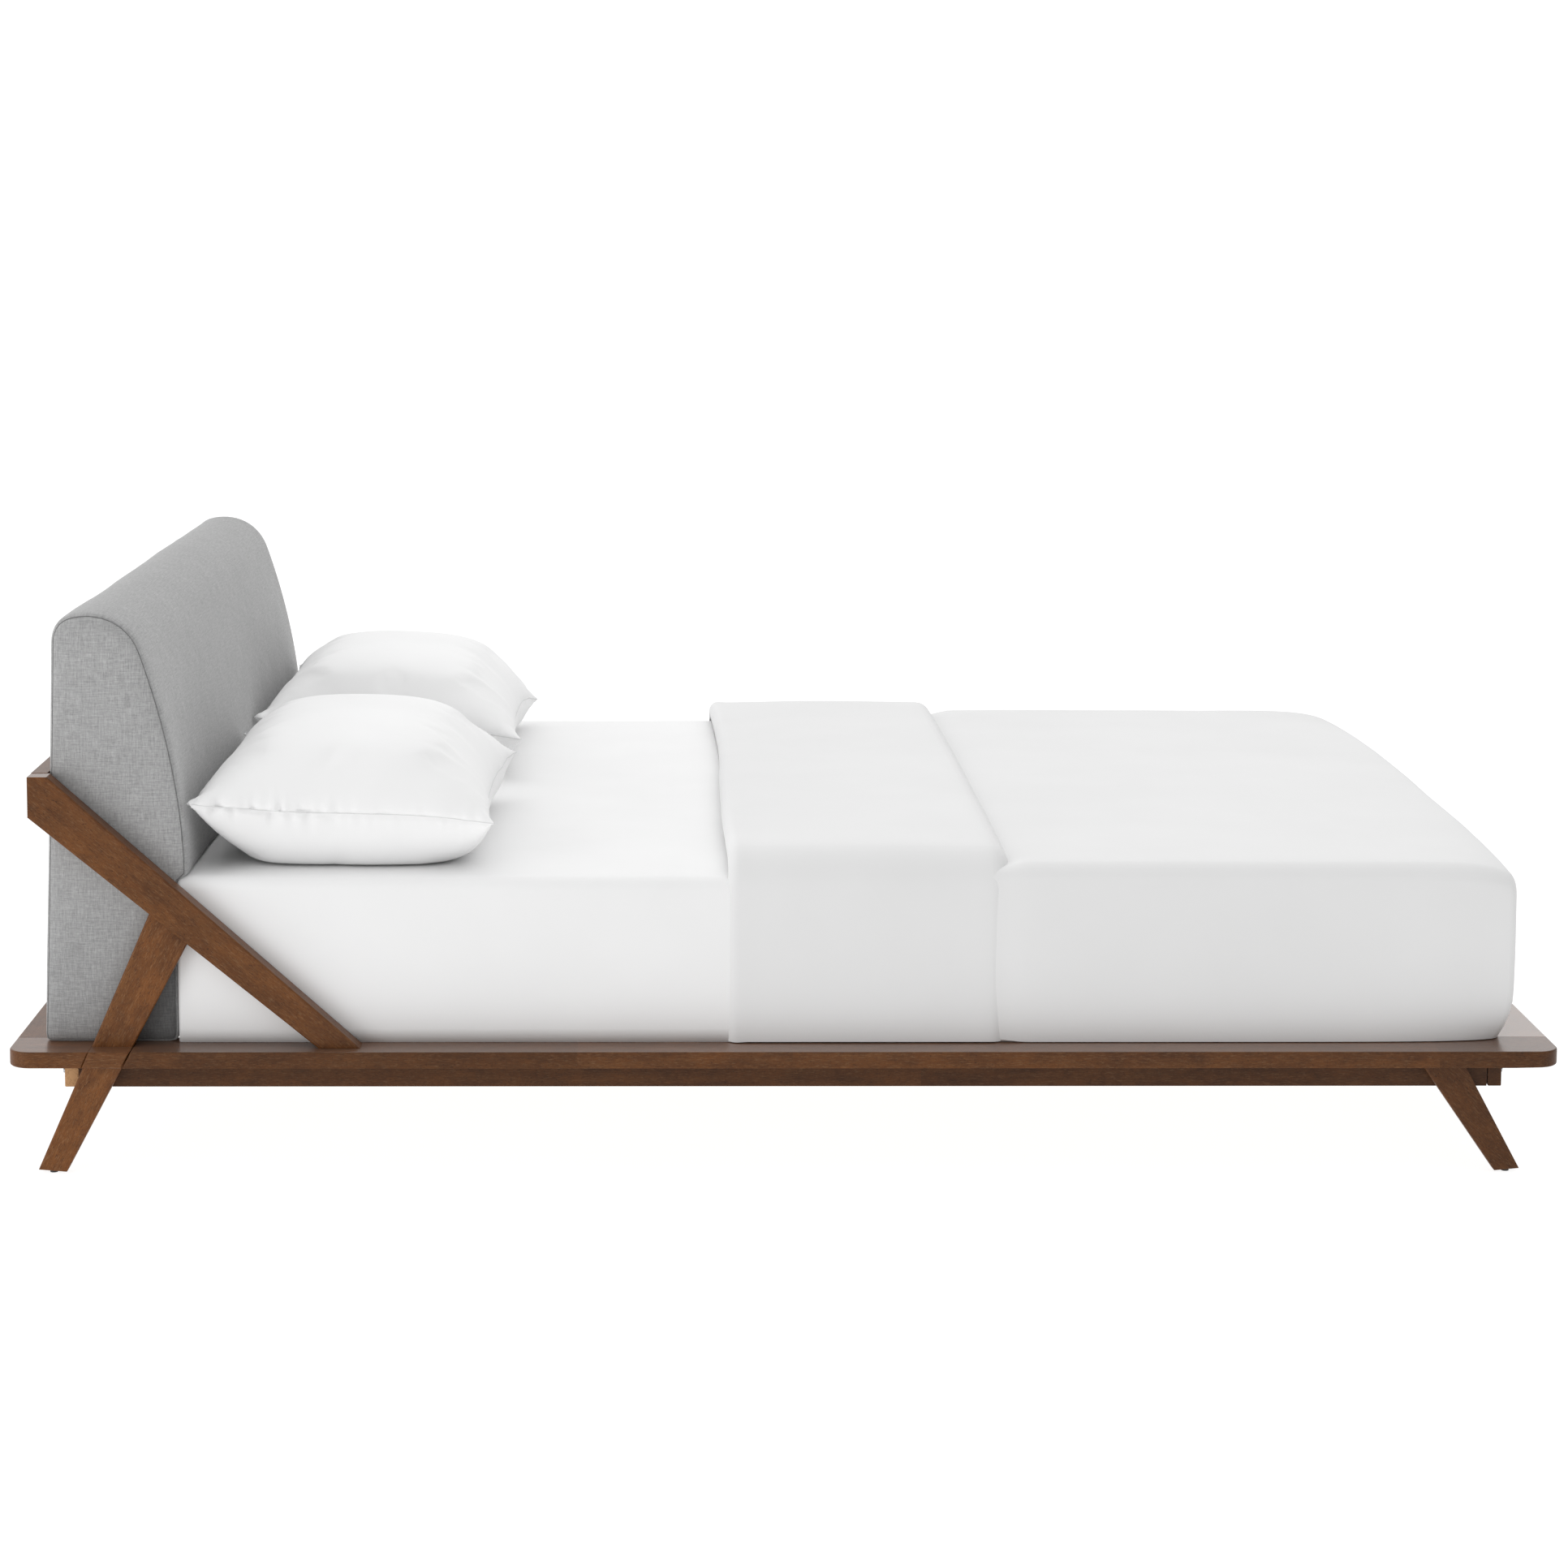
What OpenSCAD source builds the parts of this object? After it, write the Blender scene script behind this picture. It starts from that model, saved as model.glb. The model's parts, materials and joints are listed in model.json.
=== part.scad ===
// Platform bed with a padded headboard held between two diagonal braces.
// Lengths are in millimetres. +X runs from head to foot, +Z is up, and the
// origin is on the floor under the middle of the platform. The right side is -Y.

/* [Platform] */
// Length of the platform from head to foot
platform_l = 2339; // [2330:1:2350]
// Width of the platform
platform_w = 1640; // [1636:1:1650]
// Height of the platform's top face
platform_z = 196; // [194:1:200]
// Thickness of the platform's boards
board_t = 25; // [22:1:27]
// Width of the platform's boards
board_w = 90; // [86:1:96]
// Plan radius of the platform's corners
corner_r = 36; // [20:1:45]

/* [Rails and slats] */
// Height of the rails under the platform
rail_h = 43; // [42:1:48]
// Thickness of the side rails
rail_t = 22; // [20:1:24]
// Inset of the side rails from the platform's sides
rail_inset = 57; // [57:1:60]
// Thickness of the cross rails
cross_t = 21; // [18:1:24]
// Inset of the cross rails from the platform's ends
cross_inset = 77; // [74:1:80]
// Width of the centre rail
center_w = 40; // [36:1:46]
// Number of slats
slat_count = 12; // [10:1:12]
// Width of a slat
slat_w = 90; // [70:1:95]

/* [Legs and braces] */
// Inset of the legs' outer faces from the platform's sides
leg_inset = 34; // [32:1:36]
// Thickness of the legs
leg_t = 23; // [21:1:23]
// Inset of the braces' outer faces from the platform's sides
brace_inset = 22; // [20:1:24]
// Thickness of the braces
brace_t = 34; // [30:1:34]
// Height of the braces' tops
brace_top_z = 609.5; // [604:0.5:614]
// Height of the back rail
back_rail_h = 60; // [50:1:62]

/* [Headboard] */
// Width of the headboard
headboard_w = 1524; // [1500:1:1524]
// Height of the headboard's crown above the floor
crown_z = 847.5; // [840:0.5:860]
// Thickness of the padded end panels
end_panel_t = 10; // [6:1:12]

/* [Bedding] */
// Length of the mattress
mattress_l = 2023; // [2000:1:2026]
// Width of the mattress
mattress_w = 1518; // [1500:1:1518]
// Height of the mattress
mattress_h = 254; // [240:1:255]
// Plan radius of the mattress's corners
mattress_r = 50; // [30:1:70]
// Width of the folded-back part of the duvet
cuff_w = 420; // [380:1:440]
// Length of a pillow from seam to seam
pillow_l = 655; // [620:1:665]
// Width of a pillow
pillow_w = 462; // [440:1:466]
// Height of a pillow
pillow_h = 208; // [180:1:214]

/* [Hidden] */
$fn = 48;
head_x = -platform_l / 2;
foot_x = platform_l / 2;
side_y = platform_w / 2;
board_z = platform_z - board_t;
rail_z = board_z - rail_h;
rail_y = side_y - rail_inset - rail_t;
gap = 0.3;

// Legs: the X of each edge at the floor, and how far it moves for each mm of height
head_leg_rear = [head_x + 36.7, 0.438];
head_leg_front = [head_x + 80.7, 0.53];
foot_leg_rear = [foot_x - 88.1, -0.692];
foot_leg_front = [foot_x - 48.8, -0.54];
leg_foot_z = [2.5, 6];
leg_y = side_y - leg_inset - leg_t;
leg_bolt_z = rail_z + 12.5;
leg_bolt_pitch = 34;
glide_r = 6;

// Braces: corner points in X and Z
brace_rear_x = head_x + 35;
brace_rear_low = [brace_rear_x, 547.5];
brace_top_front = [head_x + 64.6, brace_top_z];
brace_foot_rear = [head_x + 464.5, platform_z];
brace_foot_front = [head_x + 528, platform_z];
brace_y = side_y - brace_inset - brace_t;
back_rail_t = 24.2;
joint_gap = 1.4;

// Centre rail, its hangers and its legs
center_leg_x = [-420, 420];
center_leg_w = 38;
center_leg_low_z = 26;
hanger_t = 2;
leveler_stem_r = 4;
leveler_pad_r = 16;
leveler_top_z = center_leg_low_z + 30;
leveler_travel = 8;

// Slats and the cleats that carry their ends
slat_half_l = side_y - board_w - 1;
slat_end_gap = 6;
slat_first_x = head_x + board_w + slat_end_gap + slat_w / 2;
slat_pitch = (platform_l - 2 * (board_w + slat_end_gap) - slat_w) / (slat_count - 1);
cleat_w = 30;
cleat_h = 20;

// Hex-socket bolts and their nuts, dowels and screws
m6_r = 3;
m8_r = 4;
bolt_hole_gap = 0.25;
frame_bolt_l = 50;
leg_bolt_l = 40;
insert_r = 6;
insert_l = 16;
barrel_r = 5;
barrel_l = 18;
dowel_r = 4;
screw_r = 2;
screw_head_r = 4;
screw_l = 42;
screw_gap = 0.2;
corner_bolt_z = rail_z + 24;
corner_bolt_y = side_y - rail_inset - rail_t / 2;
brace_bolt_x = head_x + 488;
brace_dowel_x = head_x + 509;

// Headboard outline: corner and turning points in X and Z
hb_low_z = platform_z + 0.5;
hb_back_low = [head_x + 48.5, hb_low_z];
hb_back_high = [head_x + 67.5, crown_z - 42.5];
hb_crown = [head_x + 120.5, crown_z];
hb_shoulder = [head_x + 199.5, crown_z - 57.5];
hb_front_high = [head_x + 262.5, platform_z + 259];
hb_front_step = [head_x + 247.5, platform_z + 256];
hb_front_low = [head_x + 247.5, hb_low_z];
wrap_t = 2;

// Wooden core of the headboard
core_x = [head_x + 73.5, head_x + 169.5];
core_z = [platform_z + 4, crown_z - 47.5];
core_half_l = headboard_w / 2 - end_panel_t - 4;
back_panel_t = 4;
plate_t = 20;
rib_t = 18;
rib_y = [for (i = [-2:2]) i * (core_half_l - rib_t / 2) / 2];
mid_rail_h = 60;
mid_rail_t = 20;
back_rail_z = brace_top_z - back_rail_h + 0.5;
hb_bolt_z = back_rail_z + back_rail_h / 2;
hb_bolt_y = [-550, -200, 200, 550];
counterbore_r = 8;
counterbore_d = 5;

// Mattress, duvet and pillows
bed_x = head_x + 248.5;
bed_z = platform_z + gap;
sheet_t = 1.5;
duvet_t = 21;
duvet_side_t = 5;
duvet_head_x = bed_x + 831;
cuff_t = 19.5;
cuff_side_t = 8;
pillow_x = bed_x + 248;
pillow_y = [-415, 388];
pillow_seam_h = 96;

function slat_name(i) = str("slat_", i < 10 ? "0" : "", i);
slat_names = [for (i = [1:slat_count]) slat_name(i)];

// ---------- helpers ----------

// X of a leg's edge at height z
function edge_x(edge, z) = edge[0] + edge[1] * z;

// Height of a brace's lower edge at x
function brace_low_z(x) = brace_rear_low[1]
    + (x - brace_rear_low[0]) * (platform_z - brace_rear_low[1])
    / (brace_foot_rear[0] - brace_rear_low[0]);

// Where a leg's edge, carried up, meets the brace's lower edge
function meets_brace(edge) =
    let (slope = brace_low_z(1) - brace_low_z(0),
         z = (brace_low_z(0) + slope * edge[0]) / (1 - slope * edge[1]))
    [edge_x(edge, z), z];

// Points along a cubic curve through a and d, steered by b and c
function curve(a, b, c, d, n) = [for (i = [0:n]) let (t = i / n, u = 1 - t)
    u * u * u * a + 3 * u * u * t * b + 3 * u * t * t * c + t * t * t * d];

// An outline moved inwards by d, for points listed clockwise
function inset(points, d) = [for (i = [0:len(points) - 1])
    let (n = len(points),
         before = points[i] - points[(i + n - 1) % n],
         after = points[(i + 1) % n] - points[i],
         u = before / norm(before),
         v = after / norm(after),
         mid = [u[1] + v[1], -u[0] - v[0]])
    points[i] + mid * d / (1 + u * v)];

// Mirrors the left side's shape to the right when side is -1
module on_side(side) {
    if (side < 0) mirror([0, 1, 0]) children();
    else children();
}

// Board with an outline in X and Z, standing between y0 and y1
module upright(outline, y0, y1) {
    translate([0, y1, 0]) rotate([90, 0, 0]) linear_extrude(y1 - y0) polygon(outline);
}

// Box from its lowest to its highest corner
module box(low, high) {
    translate(low) cube(high - low);
}

// Rectangle in plan with its two corners at the foot end rounded
module foot_rounded(x0, x1, half_w, r) {
    translate([x0, -half_w]) square([x1 - x0 - r, 2 * half_w]);
    translate([x1 - r - 1, -half_w + r]) square([r + 1, 2 * (half_w - r)]);
    for (s = [-1, 1]) translate([x1 - r, s * (half_w - r)]) circle(r);
}

// Rod between heights z0 and z1, or along X or Y after turning
module rod(r, z0, z1) {
    translate([0, 0, z0]) cylinder(r = r, h = z1 - z0);
}

// ---------- platform boards ----------

// Plan of a side board before the leg is let in: both outer corners rounded
module side_board_blank() {
    translate([0, 0, board_z]) linear_extrude(board_t) {
        translate([head_x, side_y - board_w]) square([platform_l, board_w - corner_r]);
        translate([head_x + corner_r, side_y - board_w])
            square([platform_l - 2 * corner_r, board_w]);
        for (x = [head_x + corner_r, foot_x - corner_r])
            translate([x, side_y - corner_r]) circle(corner_r);
    }
}

// Outline in X and Z between two slanted lines, taller than the board
function slanted(edge_a, move_a, edge_b, move_b) =
    let (z0 = board_z - 1, z1 = platform_z + 1)
    [[edge_x(edge_a, z0) + move_a, z0], [edge_x(edge_b, z0) + move_b, z0],
     [edge_x(edge_b, z1) + move_b, z1], [edge_x(edge_a, z1) + move_a, z1]];

behind_leg = slanted([head_x - 50, 0], 0, head_leg_rear, 0);
past_leg = slanted(head_leg_rear, 0, head_leg_front, joint_gap);
leg_slot = slanted(head_leg_rear, 0, head_leg_front, 0);

module side_board(side) {
    color("saddlebrown") on_side(side) difference() {
        side_board_blank();
        upright(behind_leg, side_y - board_w - 1, side_y + 1);
        upright(past_leg, leg_y - gap, side_y + 1);
        translate([brace_bolt_x, brace_y + brace_t / 2, 0])
            rod(m6_r + bolt_hole_gap, board_z - 1, platform_z + 1);
        translate([brace_dowel_x, brace_y + brace_t / 2, 0])
            rod(dowel_r, platform_z - 10, platform_z + 1);
    }
}

module head_corner_board(side) {
    color("saddlebrown") on_side(side) intersection() {
        side_board_blank();
        upright(behind_leg, side_y - board_w - 1, side_y + 1);
    }
}

// Short block that closes the board's edge outside the leg
module leg_filler(side) {
    color("saddlebrown") on_side(side) intersection() {
        side_board_blank();
        upright(leg_slot, side_y - leg_inset, side_y + 1);
    }
}

module end_board(x0) {
    color("saddlebrown") box([x0, -side_y + board_w, board_z],
                             [x0 + board_w, side_y - board_w, platform_z]);
}

// ---------- rails ----------

// Places children at the two leg bolts of the head end or the foot end, on the left side
module at_leg_bolts() {
    middle = [for (edges = [[head_leg_rear, head_leg_front], [foot_leg_rear, foot_leg_front]])
        (edge_x(edges[0], leg_bolt_z) + edge_x(edges[1], leg_bolt_z)) / 2];
    for (x = middle, dx = [-leg_bolt_pitch / 2, leg_bolt_pitch / 2])
        translate([x + dx, rail_y, leg_bolt_z]) rotate([-90, 0, 0]) children();
}

// Places children at each end of a side rail, with the child's +Z pointing into the rail
module at_corner_bolts() {
    translate([head_x + cross_inset, corner_bolt_y, corner_bolt_z])
        rotate([0, 90, 0]) children();
    translate([foot_x - cross_inset, corner_bolt_y, corner_bolt_z])
        rotate([0, -90, 0]) children();
}

// Places children at the middle of each barrel nut of a side rail
module at_barrel_nuts() {
    reach = cross_inset + frame_bolt_l - barrel_r;
    for (x = [head_x + reach, foot_x - reach])
        translate([x, corner_bolt_y, corner_bolt_z]) children();
}

module side_rail(side) {
    end = cross_inset + cross_t;
    color("sienna") on_side(side) difference() {
        box([head_x + end, rail_y, rail_z],
            [foot_x - end - joint_gap, rail_y + rail_t, board_z]);
        at_leg_bolts() rod(m8_r + bolt_hole_gap, -1, rail_t + 1);
        at_corner_bolts() rod(m6_r + bolt_hole_gap, 0, frame_bolt_l + 1);
        at_barrel_nuts() rod(barrel_r + 0.1, rail_z - corner_bolt_z - 1, barrel_l / 2);
    }
}

module cross_rail(x0) {
    half_l = side_y - rail_inset - gap;
    color("sienna") difference() {
        box([x0, -half_l, rail_z], [x0 + cross_t, half_l, board_z]);
        for (s = [-1, 1]) on_side(s) at_corner_bolts()
            rod(m6_r + bolt_hole_gap, -1, frame_bolt_l);
    }
}

module center_rail() {
    end = cross_inset + cross_t + 1;
    color("burlywood") difference() {
        box([head_x + end, -center_w / 2, rail_z], [foot_x - end, center_w / 2, board_z]);
        at_slat_screws([0]) slat_screw_hole();
    }
}

// Steel stirrups that hold the centre rail's ends to the cross rails
module center_rail_hangers() {
    half_w = center_w / 2 + gap;
    flange_w = 22;
    color("silver") for (s = [-1, 1]) mirror([s < 0 ? 1 : 0, 0, 0])
        translate([foot_x - cross_inset - cross_t, 0, rail_z]) {
            box([-40, -half_w - hanger_t, -hanger_t], [0, half_w + hanger_t, -gap]);
            for (t = [-1, 1]) on_side(t) {
                box([-40, half_w, -hanger_t], [0, half_w + hanger_t, rail_h - 4]);
                box([-hanger_t, half_w, 0], [0, half_w + flange_w, rail_h - 4]);
            }
        }
}

module slat_cleat(side) {
    end = cross_inset + cross_t + 2;
    color("burlywood") on_side(side) difference() {
        box([head_x + end, rail_y - cleat_w, board_z - cleat_h], [foot_x - end, rail_y, board_z]);
        at_slat_screws([slat_half_l - 10]) slat_screw_hole();
    }
}

// ---------- slats ----------

function slat_x(i) = slat_first_x + (i - 1) * slat_pitch;

// Places children at every slat, at each y listed, on the platform's top face
module at_slat_screws(ys) {
    for (i = [1:slat_count], y = ys) translate([slat_x(i), y, platform_z]) children();
}

module slat_screw_hole() {
    rod(screw_r + screw_gap, -screw_l - 1, 1);
}

module slat_screw() {
    rod(screw_r, -screw_l, -screw_head_r);
    translate([0, 0, -screw_head_r])
        cylinder(r1 = screw_r, r2 = screw_head_r, h = screw_head_r - 0.5);
}

module slat(i) {
    ys = [-slat_half_l + 10, 0, slat_half_l - 10];
    color("burlywood") difference() {
        box([slat_x(i) - slat_w / 2, -slat_half_l, board_z],
            [slat_x(i) + slat_w / 2, slat_half_l, platform_z]);
        for (y = ys) translate([slat_x(i), y, platform_z]) {
            slat_screw_hole();
            translate([0, 0, -screw_head_r])
                cylinder(r1 = screw_r + screw_gap, r2 = screw_head_r + 2 * screw_gap,
                         h = screw_head_r + 0.01);
        }
    }
}

module slat_screws() {
    color("silver") at_slat_screws([-slat_half_l + 10, 0, slat_half_l - 10]) slat_screw();
}

// ---------- legs, braces and back rail ----------

// Bottom cut of a leg rises by a few millimetres towards the outside of the bed
function leg_bottom(outer, inner) =
    [[edge_x(outer, leg_foot_z[1]), leg_foot_z[1]], [edge_x(inner, leg_foot_z[0]), leg_foot_z[0]]];

head_leg_outline = concat(leg_bottom(head_leg_rear, head_leg_front),
                          [meets_brace(head_leg_front), meets_brace(head_leg_rear)]);
foot_leg_outline = concat(leg_bottom(foot_leg_front, foot_leg_rear),
                          [[edge_x(foot_leg_rear, board_z), board_z],
                           [edge_x(foot_leg_front, board_z), board_z]]);

module leg_insert_holes() {
    at_leg_bolts() rod(insert_r, rail_t - 1, leg_bolt_l);
}

module head_leg(side) {
    color("sienna") on_side(side) difference() {
        upright(head_leg_outline, leg_y, leg_y + leg_t);
        leg_insert_holes();
        leg_dowels(dowel_r);
    }
}

module foot_leg(side) {
    color("sienna") on_side(side) difference() {
        upright(foot_leg_outline, leg_y, leg_y + leg_t);
        leg_insert_holes();
    }
}

// Dowels from the head leg's top into the brace, square to the brace's lower edge
module leg_dowels(r) {
    a = meets_brace(head_leg_rear);
    b = meets_brace(head_leg_front);
    tilt = atan2(a[1] - b[1], b[0] - a[0]);
    for (t = [0.3, 0.7]) {
        p = a + (b - a) * t;
        translate([p[0], leg_y + leg_t / 2 + 1, p[1]]) rotate([0, tilt, 0]) rod(r, -18, 18);
    }
}

// Dowels from the back rail's ends into the braces
module back_rail_dowels(r) {
    for (z = [back_rail_z + 15, back_rail_z + back_rail_h - 15])
        translate([brace_rear_x + back_rail_t / 2, brace_y, z])
            rotate([-90, 0, 0]) rod(r, -20, 20);
}

module brace(side) {
    color("sienna") on_side(side) difference() {
        upright([brace_rear_low, [brace_rear_x, brace_top_z], brace_top_front,
                 brace_foot_front, brace_foot_rear], brace_y, brace_y + brace_t);
        leg_dowels(dowel_r);
        back_rail_dowels(dowel_r);
        translate([0, brace_y + brace_t / 2, 0]) {
            translate([brace_bolt_x, 0, 0])
                rod(m6_r, platform_z - 1, board_z + frame_bolt_l + 1);
            translate([brace_dowel_x, 0, 0]) rod(dowel_r, platform_z - 1, platform_z + 9);
        }
    }
}

module back_rail() {
    color("sienna") difference() {
        box([brace_rear_x, -brace_y, back_rail_z],
            [brace_rear_x + back_rail_t, brace_y, back_rail_z + back_rail_h]);
        for (s = [-1, 1]) on_side(s) back_rail_dowels(dowel_r);
        at_headboard_bolts() {
            rod(m6_r + bolt_hole_gap, -1, back_rail_t + 1);
            rod(counterbore_r, -1, counterbore_d);
        }
    }
}

// Places children on the back rail's rear face, with the child's +Z pointing to the foot
module at_headboard_bolts() {
    for (y = hb_bolt_y) translate([brace_rear_x, y, hb_bolt_z]) rotate([0, 90, 0]) children();
}

// Small nail-on glides under the four legs
module leg_glides() {
    bottoms = [[head_leg_outline, head_leg_outline[0] + head_leg_outline[1]],
               [foot_leg_outline, foot_leg_outline[0] + foot_leg_outline[1]]];
    color("black") for (s = [-1, 1], leg = bottoms) on_side(s) difference() {
        translate([leg[1][0] / 2, leg_y + leg_t / 2, 0]) rod(glide_r, 0, leg_foot_z[1]);
        upright(leg[0], leg_y, leg_y + leg_t);
    }
}

// ---------- centre legs ----------

module center_leg(x) {
    w = center_leg_w / 2;
    color("burlywood") translate([x, 0, 0]) difference() {
        box([-w, -w, center_leg_low_z], [w, w, rail_z]);
        rod(leveler_stem_r + 0.1, center_leg_low_z - 1, leveler_top_z + leveler_travel + 4);
    }
}

// Screw foot: pad, nut flats and a stem that turns up into the leg
module leveler(x) {
    color("dimgray") translate([x, 0, 0]) {
        rod(leveler_pad_r, 0, 7);
        translate([0, 0, 7]) cylinder(r = 8, h = 6, $fn = 6);
        rod(leveler_stem_r, 7, leveler_top_z);
    }
}

// ---------- headboard ----------

hb_outline = concat(
    [hb_back_low],
    curve(hb_back_high, hb_back_high + [0, 34], hb_crown - [34, 0], hb_crown, 10),
    curve(hb_crown, hb_crown + [37, 0], hb_shoulder + [-11.5, 35], hb_shoulder, 8),
    curve(hb_shoulder, hb_shoulder + [34, -96], hb_front_high + [0, 111], hb_front_high, 10),
    [hb_front_step, hb_front_low]);
// The same outline without the points that two curves share
hb_points = [for (i = [0:len(hb_outline) - 1])
    if (i == 0 || norm(hb_outline[i] - hb_outline[i - 1]) > 0.01) hb_outline[i]];
hb_half_l = headboard_w / 2 - end_panel_t;

module headboard_bolt_holes() {
    at_headboard_bolts() rod(m6_r + bolt_hole_gap, 0, frame_bolt_l + 20);
}

module headboard_wrap() {
    inner = inset(hb_points, wrap_t);
    color("darkgray") difference() {
        upright(hb_points, -hb_half_l, hb_half_l);
        upright(inner, -hb_half_l - 1, hb_half_l + 1);
        headboard_bolt_holes();
    }
}

module headboard_foam() {
    color("khaki") difference() {
        upright(inset(hb_points, wrap_t), -hb_half_l, hb_half_l);
        box([core_x[0], -core_half_l, core_z[0]], [core_x[1], core_half_l, core_z[1]]);
        headboard_bolt_holes();
    }
}

module headboard_end(side) {
    color("gray") on_side(side) upright(hb_points, hb_half_l + gap, hb_half_l + end_panel_t);
}

module headboard_back_panel() {
    color("tan") difference() {
        box([core_x[0], -core_half_l, core_z[0]],
            [core_x[0] + back_panel_t, core_half_l, core_z[1]]);
        headboard_bolt_holes();
    }
}

module headboard_plate(z0) {
    color("burlywood") box([core_x[0] + back_panel_t, -core_half_l, z0],
                           [core_x[1], core_half_l, z0 + plate_t]);
}

module headboard_mid_rail_box(half_l) {
    box([core_x[0] + back_panel_t, -half_l, hb_bolt_z - mid_rail_h / 2],
        [core_x[0] + back_panel_t + mid_rail_t, half_l, hb_bolt_z + mid_rail_h / 2]);
}

module headboard_mid_rail() {
    color("burlywood") difference() {
        headboard_mid_rail_box(core_half_l);
        headboard_bolt_holes();
    }
}

module headboard_ribs() {
    color("burlywood") difference() {
        for (y = rib_y)
            box([core_x[0] + back_panel_t, y - rib_t / 2, core_z[0] + plate_t],
                [core_x[1], y + rib_t / 2, core_z[1] - plate_t]);
        headboard_mid_rail_box(core_half_l + 1);
    }
}

// ---------- bedding ----------

module mattress() {
    color("whitesmoke") translate([0, 0, bed_z]) linear_extrude(mattress_h - sheet_t)
        foot_rounded(bed_x + sheet_t, bed_x + mattress_l, mattress_w / 2, mattress_r);
}

// Stretched sheet with closed top and sides
module fitted_sheet() {
    color("white") difference() {
        translate([0, 0, bed_z]) linear_extrude(mattress_h)
            foot_rounded(bed_x, bed_x + mattress_l + sheet_t, mattress_w / 2 + sheet_t,
                         mattress_r + sheet_t);
        translate([0, 0, bed_z - 1]) linear_extrude(mattress_h - sheet_t + 1)
            foot_rounded(bed_x + sheet_t, bed_x + mattress_l, mattress_w / 2, mattress_r);
    }
}

// Duvet over the foot two thirds, hanging to the platform, with a folded-back cuff
module duvet() {
    on_sheet = sheet_t + gap;
    side = on_sheet + duvet_side_t;
    top = mattress_h + gap + duvet_t;
    color("white") translate([0, 0, bed_z + gap]) difference() {
        union() {
            linear_extrude(top)
                foot_rounded(duvet_head_x, bed_x + mattress_l + side, mattress_w / 2 + side,
                             mattress_r + side);
            box([duvet_head_x, -mattress_w / 2 - on_sheet - cuff_side_t, 0],
                [duvet_head_x + cuff_w, mattress_w / 2 + on_sheet + cuff_side_t, top + cuff_t]);
        }
        translate([0, 0, -1]) linear_extrude(mattress_h + 1)
            foot_rounded(duvet_head_x - 1, bed_x + mattress_l + on_sheet,
                         mattress_w / 2 + on_sheet, mattress_r + on_sheet);
    }
}

// Crowned cushion: a thin seam line all round, a flat rest below and a domed top
module pillow(y) {
    corner = 7;
    rest_z = bed_z + mattress_h + gap;
    color("white") translate([pillow_x, y, rest_z]) hull() {
        for (sx = [-1, 1], sy = [-1, 1])
            translate([sx * (pillow_w / 2 - corner), sy * (pillow_l / 2 - corner), pillow_seam_h])
                sphere(r = corner, $fn = 16);
        scale([1, pillow_l / pillow_w, 1]) cylinder(r = pillow_w * 0.36, h = 1, $fn = 32);
        translate([0, 0, pillow_h / 2]) scale([pillow_w * 0.42, pillow_l * 0.42, pillow_h / 2 - 1])
            sphere(r = 1, $fn = 32);
    }
}

// ---------- fasteners ----------

// Hex-socket bolt: its head below z = 0, its shank above
module hex_bolt(r, length) {
    difference() {
        union() {
            rod(r, 0, length);
            rod(1.6 * r, -r, 0);
        }
        translate([0, 0, -r - 1]) cylinder(r = 0.95 * r, h = r * 0.6 + 1, $fn = 6);
    }
}

module leg_bolts() {
    color("silver") for (s = [-1, 1]) on_side(s) at_leg_bolts() hex_bolt(m8_r, leg_bolt_l - gap);
}

// Threaded sleeves let into the legs
module leg_inserts() {
    color("goldenrod") for (s = [-1, 1]) on_side(s) at_leg_bolts() difference() {
        rod(insert_r - 0.05, rail_t + gap, rail_t + insert_l);
        rod(m8_r + 0.05, 0, leg_bolt_l);
    }
}

// Bolts of one length that hold the corners, the braces' feet and the headboard
module frame_bolts() {
    color("silver") {
        for (s = [-1, 1]) on_side(s) {
            at_corner_bolts() hex_bolt(m6_r, frame_bolt_l);
            translate([brace_bolt_x, brace_y + brace_t / 2, board_z])
                hex_bolt(m6_r - 0.05, frame_bolt_l);
        }
        at_headboard_bolts() translate([0, 0, counterbore_d]) hex_bolt(m6_r, frame_bolt_l);
    }
}

module barrel_nuts() {
    color("silver") for (s = [-1, 1]) on_side(s) at_barrel_nuts() difference() {
        rod(barrel_r, -barrel_l / 2, barrel_l / 2);
        rotate([0, 90, 0]) rod(m6_r + 0.05, -2 * barrel_r, 2 * barrel_r);
    }
}

module dowels() {
    color("tan") for (s = [-1, 1]) on_side(s) {
        leg_dowels(dowel_r - 0.05);
        back_rail_dowels(dowel_r - 0.05);
        translate([brace_dowel_x, brace_y + brace_t / 2, 0])
            rod(dowel_r - 0.05, platform_z - 9.5, platform_z + 8.5);
    }
}

// ---------- the nodes ----------

side_board(-1);  // side_board_right
side_board(1);  // side_board_left
head_corner_board(-1);  // head_corner_board_right
head_corner_board(1);  // head_corner_board_left
leg_filler(-1);  // leg_filler_right
leg_filler(1);  // leg_filler_left
end_board(head_x);  // head_end_board
end_board(foot_x - board_w);  // foot_end_board
side_rail(-1);  // side_rail_right
side_rail(1);  // side_rail_left
cross_rail(head_x + cross_inset);  // head_cross_rail
cross_rail(foot_x - cross_inset - cross_t);  // foot_cross_rail
center_rail();
center_rail_hangers();
slat_cleat(-1);  // slat_cleat_right
slat_cleat(1);  // slat_cleat_left
for (i = [1:slat_count]) slat(i);
head_leg(-1);  // head_leg_right
head_leg(1);  // head_leg_left
foot_leg(-1);  // foot_leg_right
foot_leg(1);  // foot_leg_left
brace(-1);  // brace_right
brace(1);  // brace_left
back_rail();
leg_glides();
center_leg(center_leg_x[0]);  // center_leg_head
center_leg(center_leg_x[1]);  // center_leg_foot
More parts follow.
